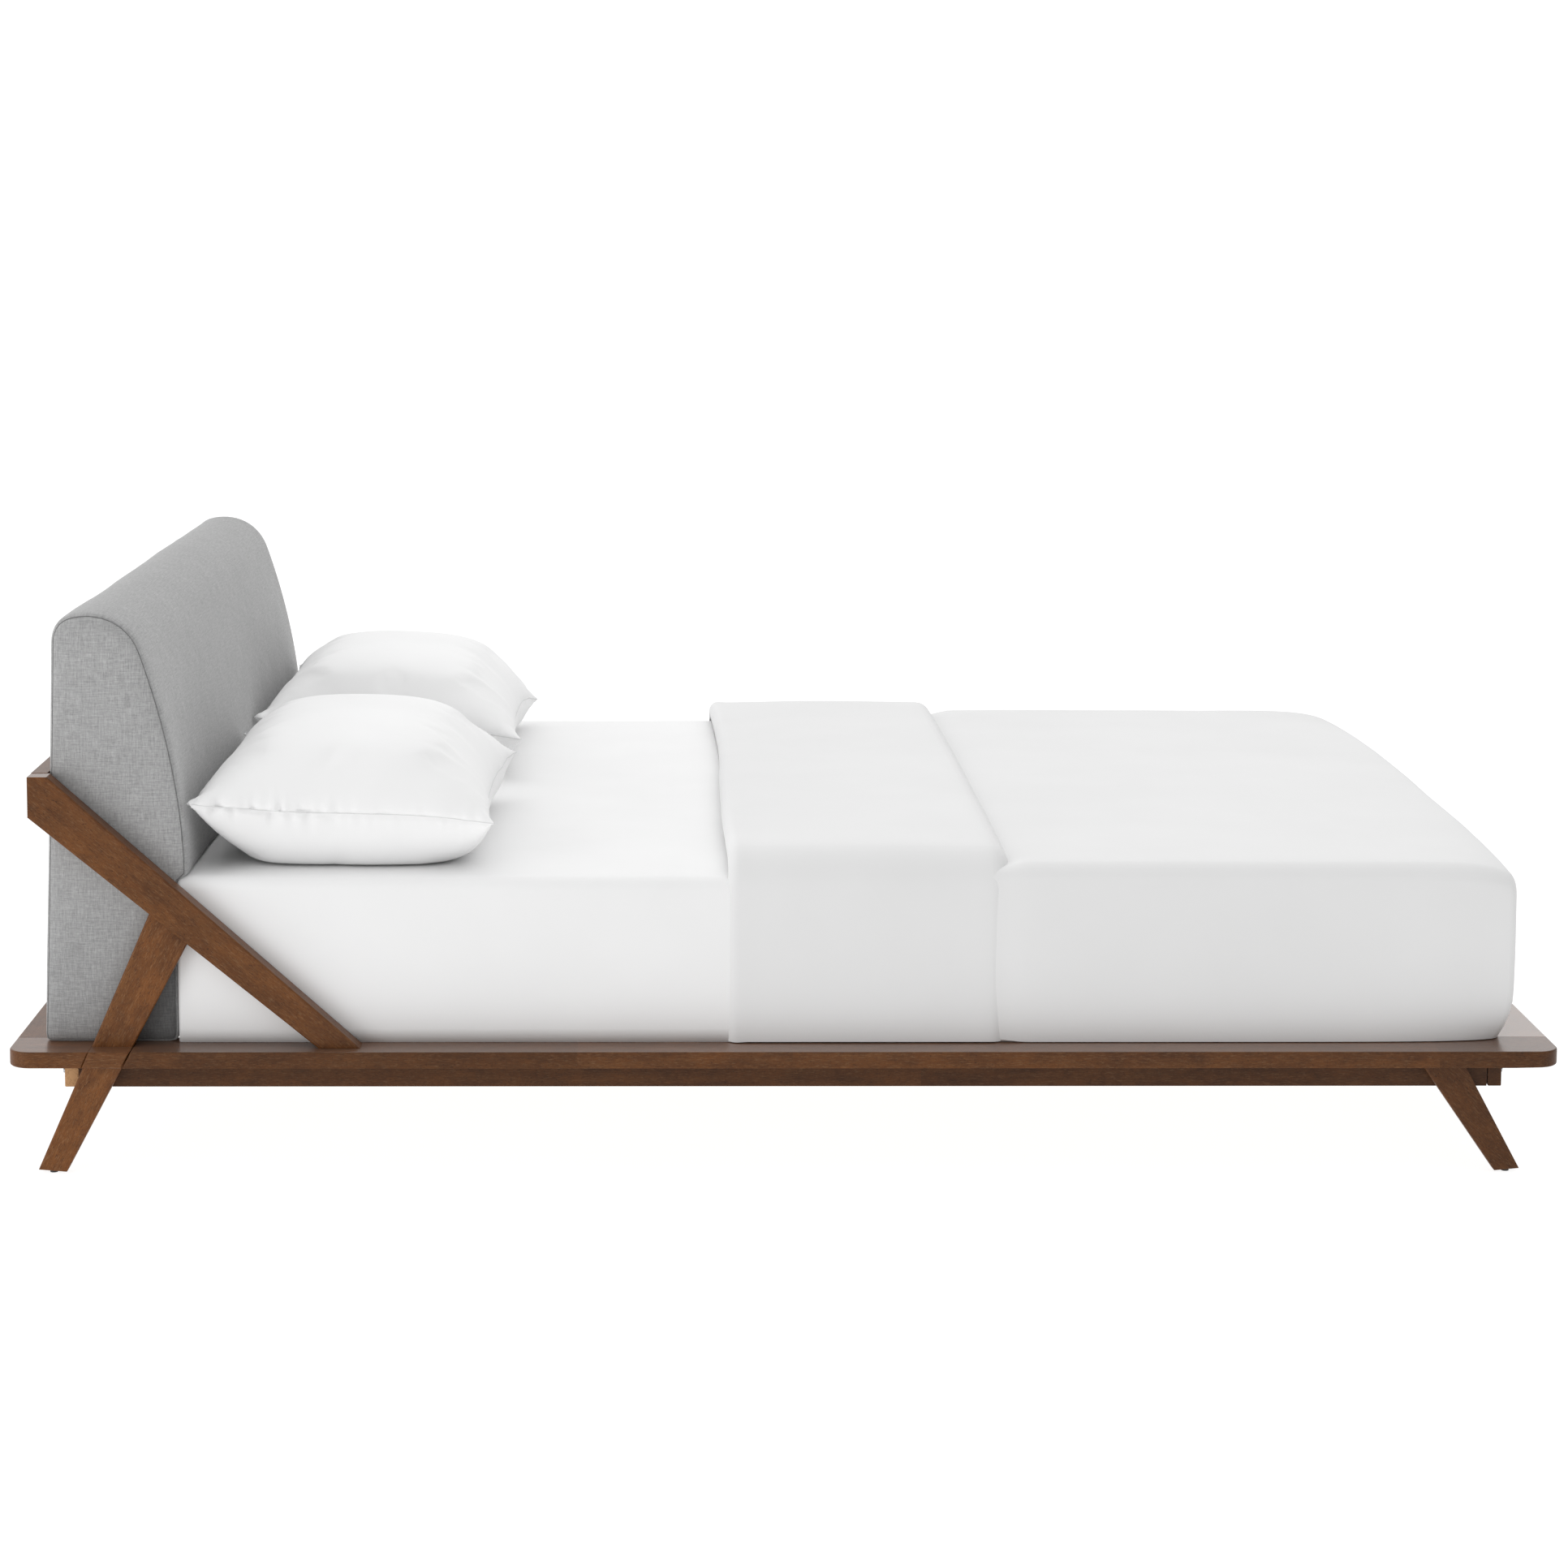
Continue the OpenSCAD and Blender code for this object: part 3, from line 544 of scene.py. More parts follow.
def headboard_outline(step):
    """Closed outline in X and Z, from the rear foot up over the crown and down the front."""
    low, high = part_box("headboard_wrap")
    back, front = low.x, high.x
    step_x = front - FRONT_STEP
    rear_foot = (back, low.z + 0.012)
    rear_shoulder = (back + HEAD_LEAN, high.z - 0.0425)
    crown = (back + 0.072, high.z)
    front_shoulder = (back + 0.151, high.z - 0.0575)
    belly = (front, low.z + 0.2585)
    under_belly = (step_x, low.z + 0.235)
    front_foot = (step_x, low.z + 0.014)
    base_front = (step_x - 0.016, low.z)
    base_rear = (back + 0.014, low.z)
    parts = [
        bezier(rear_foot, (back + 0.006, low.z + 0.2), (back + 0.0145, high.z - 0.24),
               rear_shoulder, 40),
        bezier(rear_shoulder, (back + HEAD_LEAN + 0.001, high.z - 0.0085), (back + 0.042, high.z),
               crown, 14),
        bezier(crown, (back + 0.109, high.z), (back + 0.1395, high.z - 0.0225),
               front_shoulder, 14),
        bezier(front_shoulder, (back + 0.185, high.z - 0.1535), (front, low.z + 0.3695), belly, 40),
        bezier(belly, (front, low.z + 0.250), (step_x, low.z + 0.256), under_belly, 8),
        bezier(under_belly, (step_x, low.z + 0.15), (step_x, low.z + 0.1), front_foot, 16),
        bezier(front_foot, (step_x, low.z), (step_x - 0.002, low.z), base_front, 6),
        bezier(base_front, (back + 0.1, low.z), (back + 0.1, low.z), base_rear, 12),
        bezier(base_rear, (back + 0.002, low.z), (back, low.z + 0.002), rear_foot, 6),
    ]
    return spaced(np.vstack([part[:-1] for part in parts]), step)


def outward(outline):
    """Unit normals of a clockwise closed outline."""
    run = np.roll(outline, -1, 0) - np.roll(outline, 1, 0)
    run /= np.linalg.norm(run, axis=1)[:, None]
    return np.stack([-run[:, 1], run[:, 0]], 1)


def base_puckers(x, z, corner, size):
    """Bunched folds near the base's front corner, where the fabric is stapled under."""
    away = np.hypot(x - corner[0], z - corner[1])
    slant = (x - corner[0]) * 0.55 + (z - corner[1]) * 0.35
    return size * np.exp(-away / 0.022) * np.sin(slant / 0.0032)


# Distances from the cover's ends at which its sections stand close, and where the rest begin
WRAP_ENDS = np.array((0, 0.002, 0.005, 0.009, 0.014, 0.02, 0.027, 0.036))
WRAP_MIDDLE = 0.048


def make_wrap(name, outline, half, sunk, replaced, material):
    """Cover or foam of the headboard: the outline carried along Y, sunk by some depth."""
    low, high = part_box("headboard_wrap")
    count = len(outline)
    normals = outward(outline)
    middle = np.linspace(-half + WRAP_MIDDLE, half - WRAP_MIDDLE, 110)
    stations = np.concatenate([-half + WRAP_ENDS, middle, half - WRAP_ENDS[::-1]])
    rise = ease((outline[:, 1] - low.z - 0.02) / 0.1)
    crown = ease((outline[:, 1] - (high.z - 0.16)) / 0.16)
    points = np.zeros((len(stations), count, 3))
    for k, y in enumerate(stations):
        from_end = min(1.0, (half - abs(y)) / SEAM_ROUND)
        bulge = WRAP_BULGE * (math.sqrt(1 - (1 - from_end) ** 2) - 0.45) * rise - sunk
        if not sunk:
            bulge = bulge - SEAM_GROOVE * math.exp(-(half - abs(y)) / 0.003)
        sag = -0.0006 * (1 - (y / half) ** 2) * crown
        points[k, :, 0] = outline[:, 0] + bulge * normals[:, 0]
        points[k, :, 1] = y
        points[k, :, 2] = outline[:, 1] + bulge * normals[:, 1] + sag
    flat = points.reshape(-1, 3)
    fade = np.repeat(ease((half - np.abs(stations)) / 0.06), count) * np.tile(rise, len(stations))
    wave = 0.0022 * ripples(flat, 0.30, 4.0) + 0.0009 * ripples(flat, 0.085, 9.0)
    flat[:, 0] += wave * fade * np.tile(normals[:, 0], len(stations))
    flat[:, 2] += wave * fade * np.tile(normals[:, 1], len(stations))
    run = np.concatenate([[0], np.cumsum(np.linalg.norm(np.diff(outline, axis=0), axis=1))])
    uvs = np.stack([np.repeat(stations, count), np.tile(run, len(stations))], 1)
    faces = grid_faces(len(stations), count, close_columns=True)
    if sunk:
        faces += [tuple(reversed(range(count))), tuple(range(len(flat) - count, len(flat)))]
    wrap = new_object(name, mesh_from(name, flat, faces, uvs))
    if not sunk:
        add_modifier(wrap, "SOLIDIFY", thickness=0.0015, offset=-1)
    finished(wrap, material, replaced=replaced)


# How far in from the seam each ring of an end panel lies, as a share of the way to its spine
PANEL_RINGS = (0, 0.012, 0.03, 0.06, 0.1, 0.15, 0.21, 0.28, 0.37, 0.47, 0.58, 0.7, 0.83, 0.97)


def make_end_panel(side, outline, linen, thread):
    """Padded end panel: rings from the seam inwards, rising to a flat middle."""
    node = f"headboard_end_{side}"
    low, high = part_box(node)
    sign = -1 if side == "right" else 1
    seam_y = min(abs(low.y), abs(high.y)) + 0.0004
    bottom, top = outline[:, 1].min(), outline[:, 1].max()
    spine_z = np.clip(outline[:, 1], bottom + 0.085, top - 0.085)
    spine_x = (outline[:, 0].min() + outline[:, 0].max()) / 2 - 0.012 * ease(
        (spine_z - bottom - 0.3) / 0.3)
    spine = np.stack([spine_x, spine_z], 1)
    reach = np.linalg.norm(outline - spine, axis=1)
    points, uvs = [], []
    outline = outline - SEAM_GROOVE * outward(outline)
    for share in 1 - np.array(PANEL_RINGS):
        ring = spine + (outline - spine) * share
        depth = reach * (1 - share)
        puff = PANEL_PUFF * np.sqrt(1 - (1 - np.clip(depth / PANEL_ROUND, 0, 1)) ** 2)
        spot = np.stack([ring[:, 0], np.full(len(ring), sign * 2.0), ring[:, 1]], 1)
        puff += (0.0016 * ripples(spot, 0.16, 2.0 + sign) + 0.0005 * ripples(spot, 0.04, 7.0)) \
            * ease(depth / 0.03)
        corner = (outline[:, 0].max() - 0.02, bottom + 0.012)
        puff += base_puckers(ring[:, 0], ring[:, 1], corner, 0.0016) * ease(depth / 0.006)
        points.append(np.stack([ring[:, 0], sign * (seam_y + puff), ring[:, 1]], 1))
        uvs.append(ring)
    count = len(outline)
    points, uvs = np.vstack(points), np.vstack(uvs)
    faces = grid_faces(len(PANEL_RINGS), count, close_columns=True)
    faces.append(tuple(range(count)))
    faces.append(tuple(reversed(range(len(points) - count, len(points)))))
    if sign < 0:
        faces = [tuple(reversed(f)) for f in faces]
    mesh = mesh_from(f"headboard_panel_{side}", points, faces, uvs)
    panel = new_object(mesh.name, mesh)
    finished(panel, linen, replaced=[node])
    # Thread along the seam, whose dark colour is painted shade of the groove that it lies in
    path = np.stack([outline[:, 0], np.full(count, sign * (seam_y + 0.0004)), outline[:, 1]], 1)
    seam = ring_tube(f"headboard_seam_{side}", path, SEAM_THREAD, 8)
    finished(seam, thread)


def make_headboard():
    outline = headboard_outline(OUTLINE_STEP)
    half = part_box("headboard_wrap")[1].y
    make_wrap("headboard_cover", outline, half, 0.0, ["headboard_wrap"],
              grey_linen("grey_linen_cover", 0.94))
    make_wrap("headboard_padding", outline, half - 0.001, PADDING_SUNK, ["headboard_foam"],
              foam())
    # The end panels' linen has painted shade low down and a painted shadow of the head leg
    panel_linen_painted_shade = grey_linen("grey_linen_panels_painted_shade", 0.97, 0.80)
    # Dark grey for the seam's thread: painted shade of the groove
    thread = grey_linen("grey_linen_seam_painted_shade", 0.50)
    for side in ("right", "left"):
        make_end_panel(side, outline, panel_linen_painted_shade, thread)


# ---------- bedding ----------


def lines_between(low, high, step, edge):
    """Grid lines a step apart, closer together within an edge's reach of both ends."""
    near = np.array([0, 0.16, 0.34, 0.55, 0.78]) * edge
    inner = np.linspace(low + edge, high - edge, max(2, int((high - low - 2 * edge) / step)))
    return np.concatenate([low + near, inner, (high - near)[::-1]])


def soft_box(name, low, high, edge, plan, step, puff):
    """Box with rounded edges. edge is the radius of all edges, and plan the plan radii of its
    corners at the head and the foot. puff moves each point along its normal by what it returns."""
    axes = [lines_between(low[k], high[k], step, 1.4 * edge) for k in range(3)]
    last = [len(a) - 1 for a in axes]
    index, cells = {}, []
    for axis in range(3):
        u, v = [a for a in range(3) if a != axis]
        for end in (0, last[axis]):
            for i in range(last[u]):
                for j in range(last[v]):
                    quad = []
                    for di, dj in ((0, 0), (1, 0), (1, 1), (0, 1)):
                        spot = [0, 0, 0]
                        spot[axis], spot[u], spot[v] = end, i + di, j + dj
                        quad.append(index.setdefault(tuple(spot), len(index)))
                    forward = (end > 0) == (axis != 1)
                    cells.append(quad if forward else quad[::-1])
    grid = np.array(list(index))
    points = np.stack([axes[k][grid[:, k]] for k in range(3)], 1)
    middle = (low[0] + high[0]) / 2
    radius = np.where(points[:, 0] < middle, plan[0], plan[1])
    radius = np.maximum(radius, edge + 1e-4)
    core = points.copy()
    core[:, 2] = np.clip(core[:, 2], low[2] + edge, high[2] - edge)
    for k in range(2):
        core[:, k] = np.clip(core[:, k], low[k] + radius, high[k] - radius)
    away = points[:, :2] - core[:, :2]
    far = np.maximum(np.linalg.norm(away, axis=1), 1e-9)
    core[:, :2] += away * np.minimum(1, (radius - edge) / far)[:, None]
    normal = points - core
    normal /= np.maximum(np.linalg.norm(normal, axis=1), 1e-9)[:, None]
    points = core + edge * normal
    points = points + normal * puff(points, normal)[:, None]
    return new_object(name, mesh_from(name, points, cells))


MATTRESS_EDGE = 0.024
MATTRESS_CORNERS = (0.03, 0.10)
TUFT_SPACING = 0.19


def make_mattress():
    low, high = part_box("mattress")

    def quilted(p, n):
        tufts = np.cos(p[:, 0] * 2 * math.pi / TUFT_SPACING) \
            * np.cos(p[:, 1] * 2 * math.pi / TUFT_SPACING)
        return -0.004 + 0.0018 * tufts * np.abs(n[:, 2])

    body = soft_box("mattress_body", low, high, MATTRESS_EDGE, MATTRESS_CORNERS, 0.03, quilted)
    finished(body, ticking(), replaced=["mattress"])


def section(half, z_low, z_high, radius, inset, counts):
    """Path in Y and Z up one side, over the top and down the other, moved in by inset."""
    half, z_high, radius = half - inset, z_high - inset, max(radius - inset, 0.003)
    side, arc, top = counts
    rise = np.linspace(z_low, z_high - radius, side)
    turn = np.linspace(0, math.pi / 2, arc + 2)[1:-1]
    across = np.linspace(-half + radius, half - radius, top)
    y = np.concatenate([np.full(side, -half), -half + radius * (1 - np.cos(turn)), across])
    z = np.concatenate([rise, z_high - radius * (1 - np.sin(turn)), np.full(top, z_high)])
    return np.concatenate([y, -y[:side + arc][::-1]]), np.concatenate([z, z[:side + arc][::-1]])


# Points up the side, round the edge and over the top of a section, and how far out from its
# middle each ring of a closed end lies
SECTION_COUNTS = (12, 6, 56)
CAP_SHARES = (0.99, 0.965, 0.92, 0.84, 0.72, 0.57, 0.40, 0.22, 0.05)
CORNER_TUCK = 0.022
SHEET_ROUND = 0.020
SHEET_ENDS = (0.007, 0.045)


def cover_grid(low, high, radius, end_radii, caps, stations):
    """Points and faces of cloth over a box, open below: sections along X, rounded in at each
    end, and closed there by shrinking rings where caps says so."""
    bend = np.linspace(0, math.pi / 2, 7)[:-1]
    head, foot = end_radii
    middle = np.linspace(low.x + head, high.x - foot, stations)
    places = [(low.x + head * (1 - math.cos(a)), head * (1 - math.sin(a))) for a in bend]
    places += [(x, 0.0) for x in middle]
    places += [(high.x - foot * (1 - math.cos(a)), foot * (1 - math.sin(a))) for a in bend[::-1]]
    rows = []
    for x, inset in places:
        y, z = section(high.y, low.z, high.z, radius, inset, SECTION_COUNTS)
        rows.append(np.stack([np.full(len(y), x), y, z], 1))
    count = len(rows[0])
    faces = grid_faces(len(rows), count)
    points = np.vstack(rows)
    for end, capped in enumerate(caps):
        if not capped:
            continue
        edge = rows[-1] if end else rows[0]
        middle_low = np.array((edge[0, 0], 0.0, low.z))
        first = (len(rows) - 1) * count if end else 0
        previous = range(first, first + count)
        for share in CAP_SHARES:
            ring = range(len(points), len(points) + count)
            points = np.vstack([points, middle_low + (edge - middle_low) * share])
            for i in range(count - 1):
                quad = (previous[i], ring[i], ring[i + 1], previous[i + 1])
                faces.append(quad if end else quad[::-1])
            previous = ring
        faces.append(tuple(previous if end else previous[::-1]))
    return points, faces


def moved_out(obj, count, move):
    """Moves the first points of a mesh along their normals by what move returns."""
    mesh = obj.data
    points = np.array([v.co for v in mesh.vertices])
    normals = np.array([v.normal for v in mesh.vertices])
    points[:count] += normals[:count] * move(points[:count], normals[:count])[:, None]
    mesh.vertices.foreach_set("co", points.ravel())
    mesh.update()
    return points


def open_edges(faces):
    """Directed edges that only one face uses."""
    used = set()
    for face in faces:
        used.update(zip(face, face[1:] + face[:1]))
    return sorted((a, b) for a, b in used if (b, a) not in used)


def padded_cover(name, low, high, radius, end_radii, caps, inner, stations):
    """Closed pad between an outer cover and an inner one over the box that inner gives."""
    outer_points, faces = cover_grid(low, high, radius, end_radii, caps, stations)
    inner_low, inner_high = inner
    inner_points, _ = cover_grid(inner_low, inner_high, 0.012, (0.002, 0.008), caps, stations)
    count = len(outer_points)
    rim = [(b, a, a + count, b + count) for a, b in open_edges(faces)]
    under = [tuple(n + count for n in reversed(face)) for face in faces]
    obj = new_object(name, mesh_from(name, np.vstack([outer_points, inner_points]),
                                     faces + under + rim))
    edges = {frozenset(pair) for pair in open_edges(faces)}
    sharp = obj.data.attributes.new("sharp_edge", "BOOLEAN", "EDGE")
    sharp.data.foreach_set("value", [frozenset(edge.vertices) in edges for edge in obj.data.edges])
    return obj, count


def tuck_corners(points, high, bottom):
    """Draws the lowest part of both foot corners in, as where bedding is pulled under."""
    from_foot = np.maximum(high.x - points[:, 0], 0)
    from_side = np.maximum(high.y - np.abs(points[:, 1]), 0)
    tuck = CORNER_TUCK * np.clip(1 - (points[:, 2] - bottom) / 0.075, 0, 1) ** 2
    tuck *= np.exp(-np.hypot(from_foot, from_side) / 0.07)
    points[:, 0] -= tuck
    points[:, 1] -= tuck * np.sign(points[:, 1])


def make_sheet():
    low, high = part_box("fitted_sheet")
    high = Vector((high.x, high.y, high.z - 0.001))
    points, faces = cover_grid(low, high, SHEET_ROUND, SHEET_ENDS, (True, True), 84)
    sheet = new_object("bed_sheet", mesh_from("bed_sheet", points, faces))

    def drawn(p, n):
        wrinkles = 0.0009 * ripples(p, 0.22, 1.0) + 0.0003 * ripples(p * (1, 1, 0.4), 0.07, 3.0)
        tension = 0.0022 * np.sin(math.pi * np.clip((p[:, 2] - low.z) / (high.z - low.z), 0, 1))
        return wrinkles + tension * np.abs(n[:, 1]) - 0.001 * (p[:, 0] < low.x + 0.01)

    points = moved_out(sheet, len(points), drawn)
    tuck_corners(points, high, low.z)
    sheet.data.vertices.foreach_set("co", points.ravel())
    add_modifier(sheet, "SOLIDIFY", thickness=0.0012, offset=-1)
    cotton = white_cotton("white_sheet", rgb(240, 240, 240), 0.25, 7.0)
    finished(sheet, cotton, replaced=["fitted_sheet"])


CUFF_LENGTH = 0.424
CUFF_RISE = 0.0195
CREASE = 0.006
UNDER_CUFF = 0.05
BODY_STAND_OFF = 0.005
BODY_ROUND = 0.026
BODY_ENDS = (0.004, 0.011)
CUFF_ROUND = 0.060
CUFF_ENDS = (0.017, 0.030)
CORNER_DROOP = 0.024


def make_duvet():
    low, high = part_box("duvet")
    sheet_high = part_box("fitted_sheet")[1] + Vector((0.0006, 0.0006, 0.0006))
    cotton = white_cotton("white_duvet", rgb(228, 228, 228), 0.2, 5.0)
    cuff_foot = low.x + CUFF_LENGTH
    body_top = high.z - CUFF_RISE
    body_low = Vector((cuff_foot - UNDER_CUFF, -sheet_high.y - BODY_STAND_OFF, low.z))
    body_high = Vector((high.x, sheet_high.y + BODY_STAND_OFF, body_top))
    body, count = padded_cover(
        "duvet_body", body_low, body_high, BODY_ROUND, BODY_ENDS, (False, True),
        (Vector((cuff_foot - UNDER_CUFF, -sheet_high.y, low.z)),
         Vector((sheet_high.x, sheet_high.y, sheet_high.z))), 58)

    def lofty(p, n):
        loft = 0.0022 * ripples(p, 0.42, 6.0) + 0.0006 * ripples(p, 0.13, 2.0)
        full = np.sin(math.pi * np.clip((p[:, 2] - low.z) / (body_top - low.z), 0, 1))
        crease = np.clip((p[:, 0] - cuff_foot) / 0.035, 0, 1)
        return loft * ease((p[:, 2] - low.z) / 0.06) + 0.003 * full * np.abs(n[:, 1]) \
            - (0.008 - 0.0052 * np.abs(n[:, 1])) * (1 - crease) ** 2 - 0.0015 * np.abs(n[:, 1])

    points = moved_out(body, count, lofty)
    from_foot = np.maximum(high.x - points[:count, 0], 0)
    drop = CORNER_DROOP * np.exp(-from_foot / 0.04) * np.abs(points[:count, 1] / body_high.y) ** 3.3
    points[:count, 2] -= drop * ease((points[:count, 2] - low.z) / 0.2)
    tuck_corners(points, body_high, low.z)
    body.data.vertices.foreach_set("co", points.ravel())
    finished(body, cotton, replaced=["duvet"])

    fold_high = Vector((cuff_foot + CREASE, high.y, high.z))
    fold, count = padded_cover(
        "duvet_cuff", low, fold_high, CUFF_ROUND, CUFF_ENDS, (False, False),
        (Vector((low.x + 0.004, -sheet_high.y, low.z)),
         Vector((cuff_foot - 0.02, sheet_high.y, sheet_high.z))), 26)

    def folded(p, n):
        loft = 0.0018 * ripples(p, 0.36, 3.0) + 0.0006 * ripples(p, 0.11, 5.0)
        lip = 0.0012 * np.exp(-((p[:, 0] - low.x - 0.014) / 0.009) ** 2)
        full = 0.0025 * np.sin(math.pi * np.clip((p[:, 0] - low.x) / CUFF_LENGTH, 0, 1))
        return (loft + full) * ease((p[:, 2] - low.z) / 0.05) + lip - 0.003 * np.abs(n[:, 1])

    points = moved_out(fold, count, folded)
    aside = (points[:, 1] / high.y + 1) / 2
    points[:, 0] -= 0.017 * aside * aside * ease((points[:, 2] - low.z) / 0.2)
    swing = np.sin(points[:, 1] * 5.0) * 0.004 * (points[:, 0] < low.x + 0.1)
    points[:, 0] += swing * ease((points[:, 2] - high.z + 0.08) / 0.08)
    fold.data.vertices.foreach_set("co", points.ravel())
    finished(fold, cotton)


# Spacing of a pillow's points, its seam's height and thread, and the simulation that fills it
PILLOW_STEP = 0.0078
PILLOW_SEAM = 0.096
PILLOW_THREAD = 0.0008
PILLOW_FRAMES = 16
PILLOW_PRESSURE = 4.0
MOST_MOVE = 0.010
# The gathers beside the seam, the groove that it sits in, and the softness of the flat underside
GATHER = 0.0080
SEAM_SINK = 0.0034
PRESSED = 0.006


def crowded(count, power):
    """Places from -1 to 1 that lie closer together towards both ends."""
    even = np.linspace(-1, 1, count)
    return np.sign(even) * (1 - (1 - np.abs(even)) ** power)


def pillow_panels(name, half_x, half_y, rise, fall):
    """Two filled panels joined at their edges: rise is the top's height above the seam and fall
    the depth below it. Sides pull in between the corners, which end in small ears."""
    across, along = (2 * round(h / PILLOW_STEP) for h in (half_x, half_y))
    u, v = np.meshgrid(crowded(across + 1, 1.25), crowded(along + 1, 1.7), indexing="ij")
    top_full = (1 - np.abs(u) ** 2.8) ** 0.56 * (1 - np.abs(v) ** 3.8) ** 0.54
    low_full = (1 - np.abs(u) ** 3.2) ** 0.46 * (1 - np.abs(v) ** 5.5) ** 0.50
    ear = np.clip((np.abs(u) - 0.86) / 0.14, 0, 1) * np.clip((np.abs(v) - 0.9) / 0.1, 0, 1)
    x = u * half_x * (1 - 0.045 * (1 - v ** 2)) + 0.006 * np.sign(u) * ear
    y = v * half_y * (1 - 0.030 * (1 - u ** 2)) + 0.006 * np.sign(v) * ear
    top = np.stack([x, y, rise * top_full], 2).reshape(-1, 3)
    below = np.stack([x, y, -fall * low_full], 2).reshape(-1, 3)
    rim = ((np.abs(u) == 1) | (np.abs(v) == 1)).ravel()
    number = np.arange(len(top))
    under = number.copy()
    under[~rim] = len(top) + np.arange(np.count_nonzero(~rim))
    quads = grid_faces(across + 1, along + 1)
    faces = quads + [tuple(int(under[i]) for i in reversed(q)) for q in quads]
    points = np.vstack([top, below[~rim]])
    place = np.stack([u.ravel(), v.ravel()], 1)
    place = np.vstack([place, place[~rim]])
    obj = new_object(name, mesh_from(name, points, faces, points[:, :2]))
    return obj, place, np.concatenate([rim, np.zeros(np.count_nonzero(~rim), bool)])


def inflate(obj, rim):
    """Blows the panels up with a cloth simulation in which the seam draws in, and keeps the last
    frame's shape."""
    group = obj.vertex_groups.new(name="seam")
    group.add([int(i) for i in np.nonzero(rim)[0]], 1.0, "REPLACE")
    cloth = add_modifier(obj, "CLOTH")
    settings = cloth.settings
    settings.quality = 7
    settings.mass = 0.25
    settings.tension_stiffness = 40
    settings.compression_stiffness = 20
    settings.shear_stiffness = 10
    settings.bending_stiffness = 0.12
    settings.air_damping = 3
    settings.vertex_group_shrink = "seam"
    settings.shrink_min, settings.shrink_max = -0.02, 0.09
    settings.use_pressure = True
    settings.uniform_pressure_force = PILLOW_PRESSURE
    settings.effector_weights.gravity = 0
    cloth.collision_settings.use_collision = False
    cloth.point_cache.frame_start, cloth.point_cache.frame_end = 1, PILLOW_FRAMES
    for number in range(1, PILLOW_FRAMES + 1):
        scene.frame_set(number)
    evaluated = obj.evaluated_get(bpy.context.evaluated_depsgraph_get())
    points = np.zeros(len(obj.data.vertices) * 3)
    evaluated.data.vertices.foreach_get("co", points)
    obj.modifiers.clear()
    obj.vertex_groups.clear()
    scene.frame_set(1)
    return points.reshape(-1, 3)


def split_finer(obj, place, rim):
    """Splits each face in four with the seam kept sharp, and returns the new points with their
    normals and their places on the panel."""
    mesh = obj.data
    layer = mesh.attributes.new("place", "FLOAT2", "POINT")
    layer.data.foreach_set("vector", place.ravel())
    pairs = np.zeros(2 * len(mesh.edges), int)
    mesh.edges.foreach_get("vertices", pairs)
    crease = mesh.attributes.new("crease_edge", "FLOAT", "EDGE")
    crease.data.foreach_set("value", rim[pairs.reshape(-1, 2)].all(1) * 0.9)
    mesh.update()
    add_modifier(obj, "SUBSURF", levels=1, render_levels=1)
    evaluated = obj.evaluated_get(bpy.context.evaluated_depsgraph_get())
    finer = bpy.data.meshes.new_from_object(evaluated)
    obj.modifiers.clear()
    obj.data = finer
    count = len(finer.vertices)
    points, normals, places = np.zeros(3 * count), np.zeros(3 * count), np.zeros(2 * count)
    finer.vertices.foreach_get("co", points)
    finer.vertices.foreach_get("normal", normals)
    finer.attributes["place"].data.foreach_get("vector", places)
    finer.attributes.remove(finer.attributes["place"])
    return points.reshape(-1, 3), normals.reshape(-1, 3), places.reshape(-1, 2)


def gathers(points, place, half_x, half_y, seed):
    """How far each point moves out for the gathers beside the seam and the groove at it."""
    u, v = place[:, 0], place[:, 1]
    to_side, to_end = (1 - np.abs(u)) * half_x, (1 - np.abs(v)) * half_y
    to_seam = np.hypot(np.minimum(to_side, to_end), points[:, 2])
    run = np.where(to_side < to_end, v * half_y, u * half_x)
    spots = np.stack([run, np.sign(points[:, 2]) * 0.5, seed * np.ones(len(run))], 1)
    gather = np.tanh(2.2 * ripples(spots, 0.012, seed) + 1.2 * ripples(spots, 0.026, seed + 4))
    fewer = 0.3 + 0.7 * ease((0.25 - u) / 0.7)
    inward = SEAM_SINK * np.exp(-to_seam / 0.004) * ease((to_side + to_end) / 0.06)
    return GATHER * gather * fewer * np.exp(-to_seam / 0.012) * ease(to_seam / 0.003) - inward


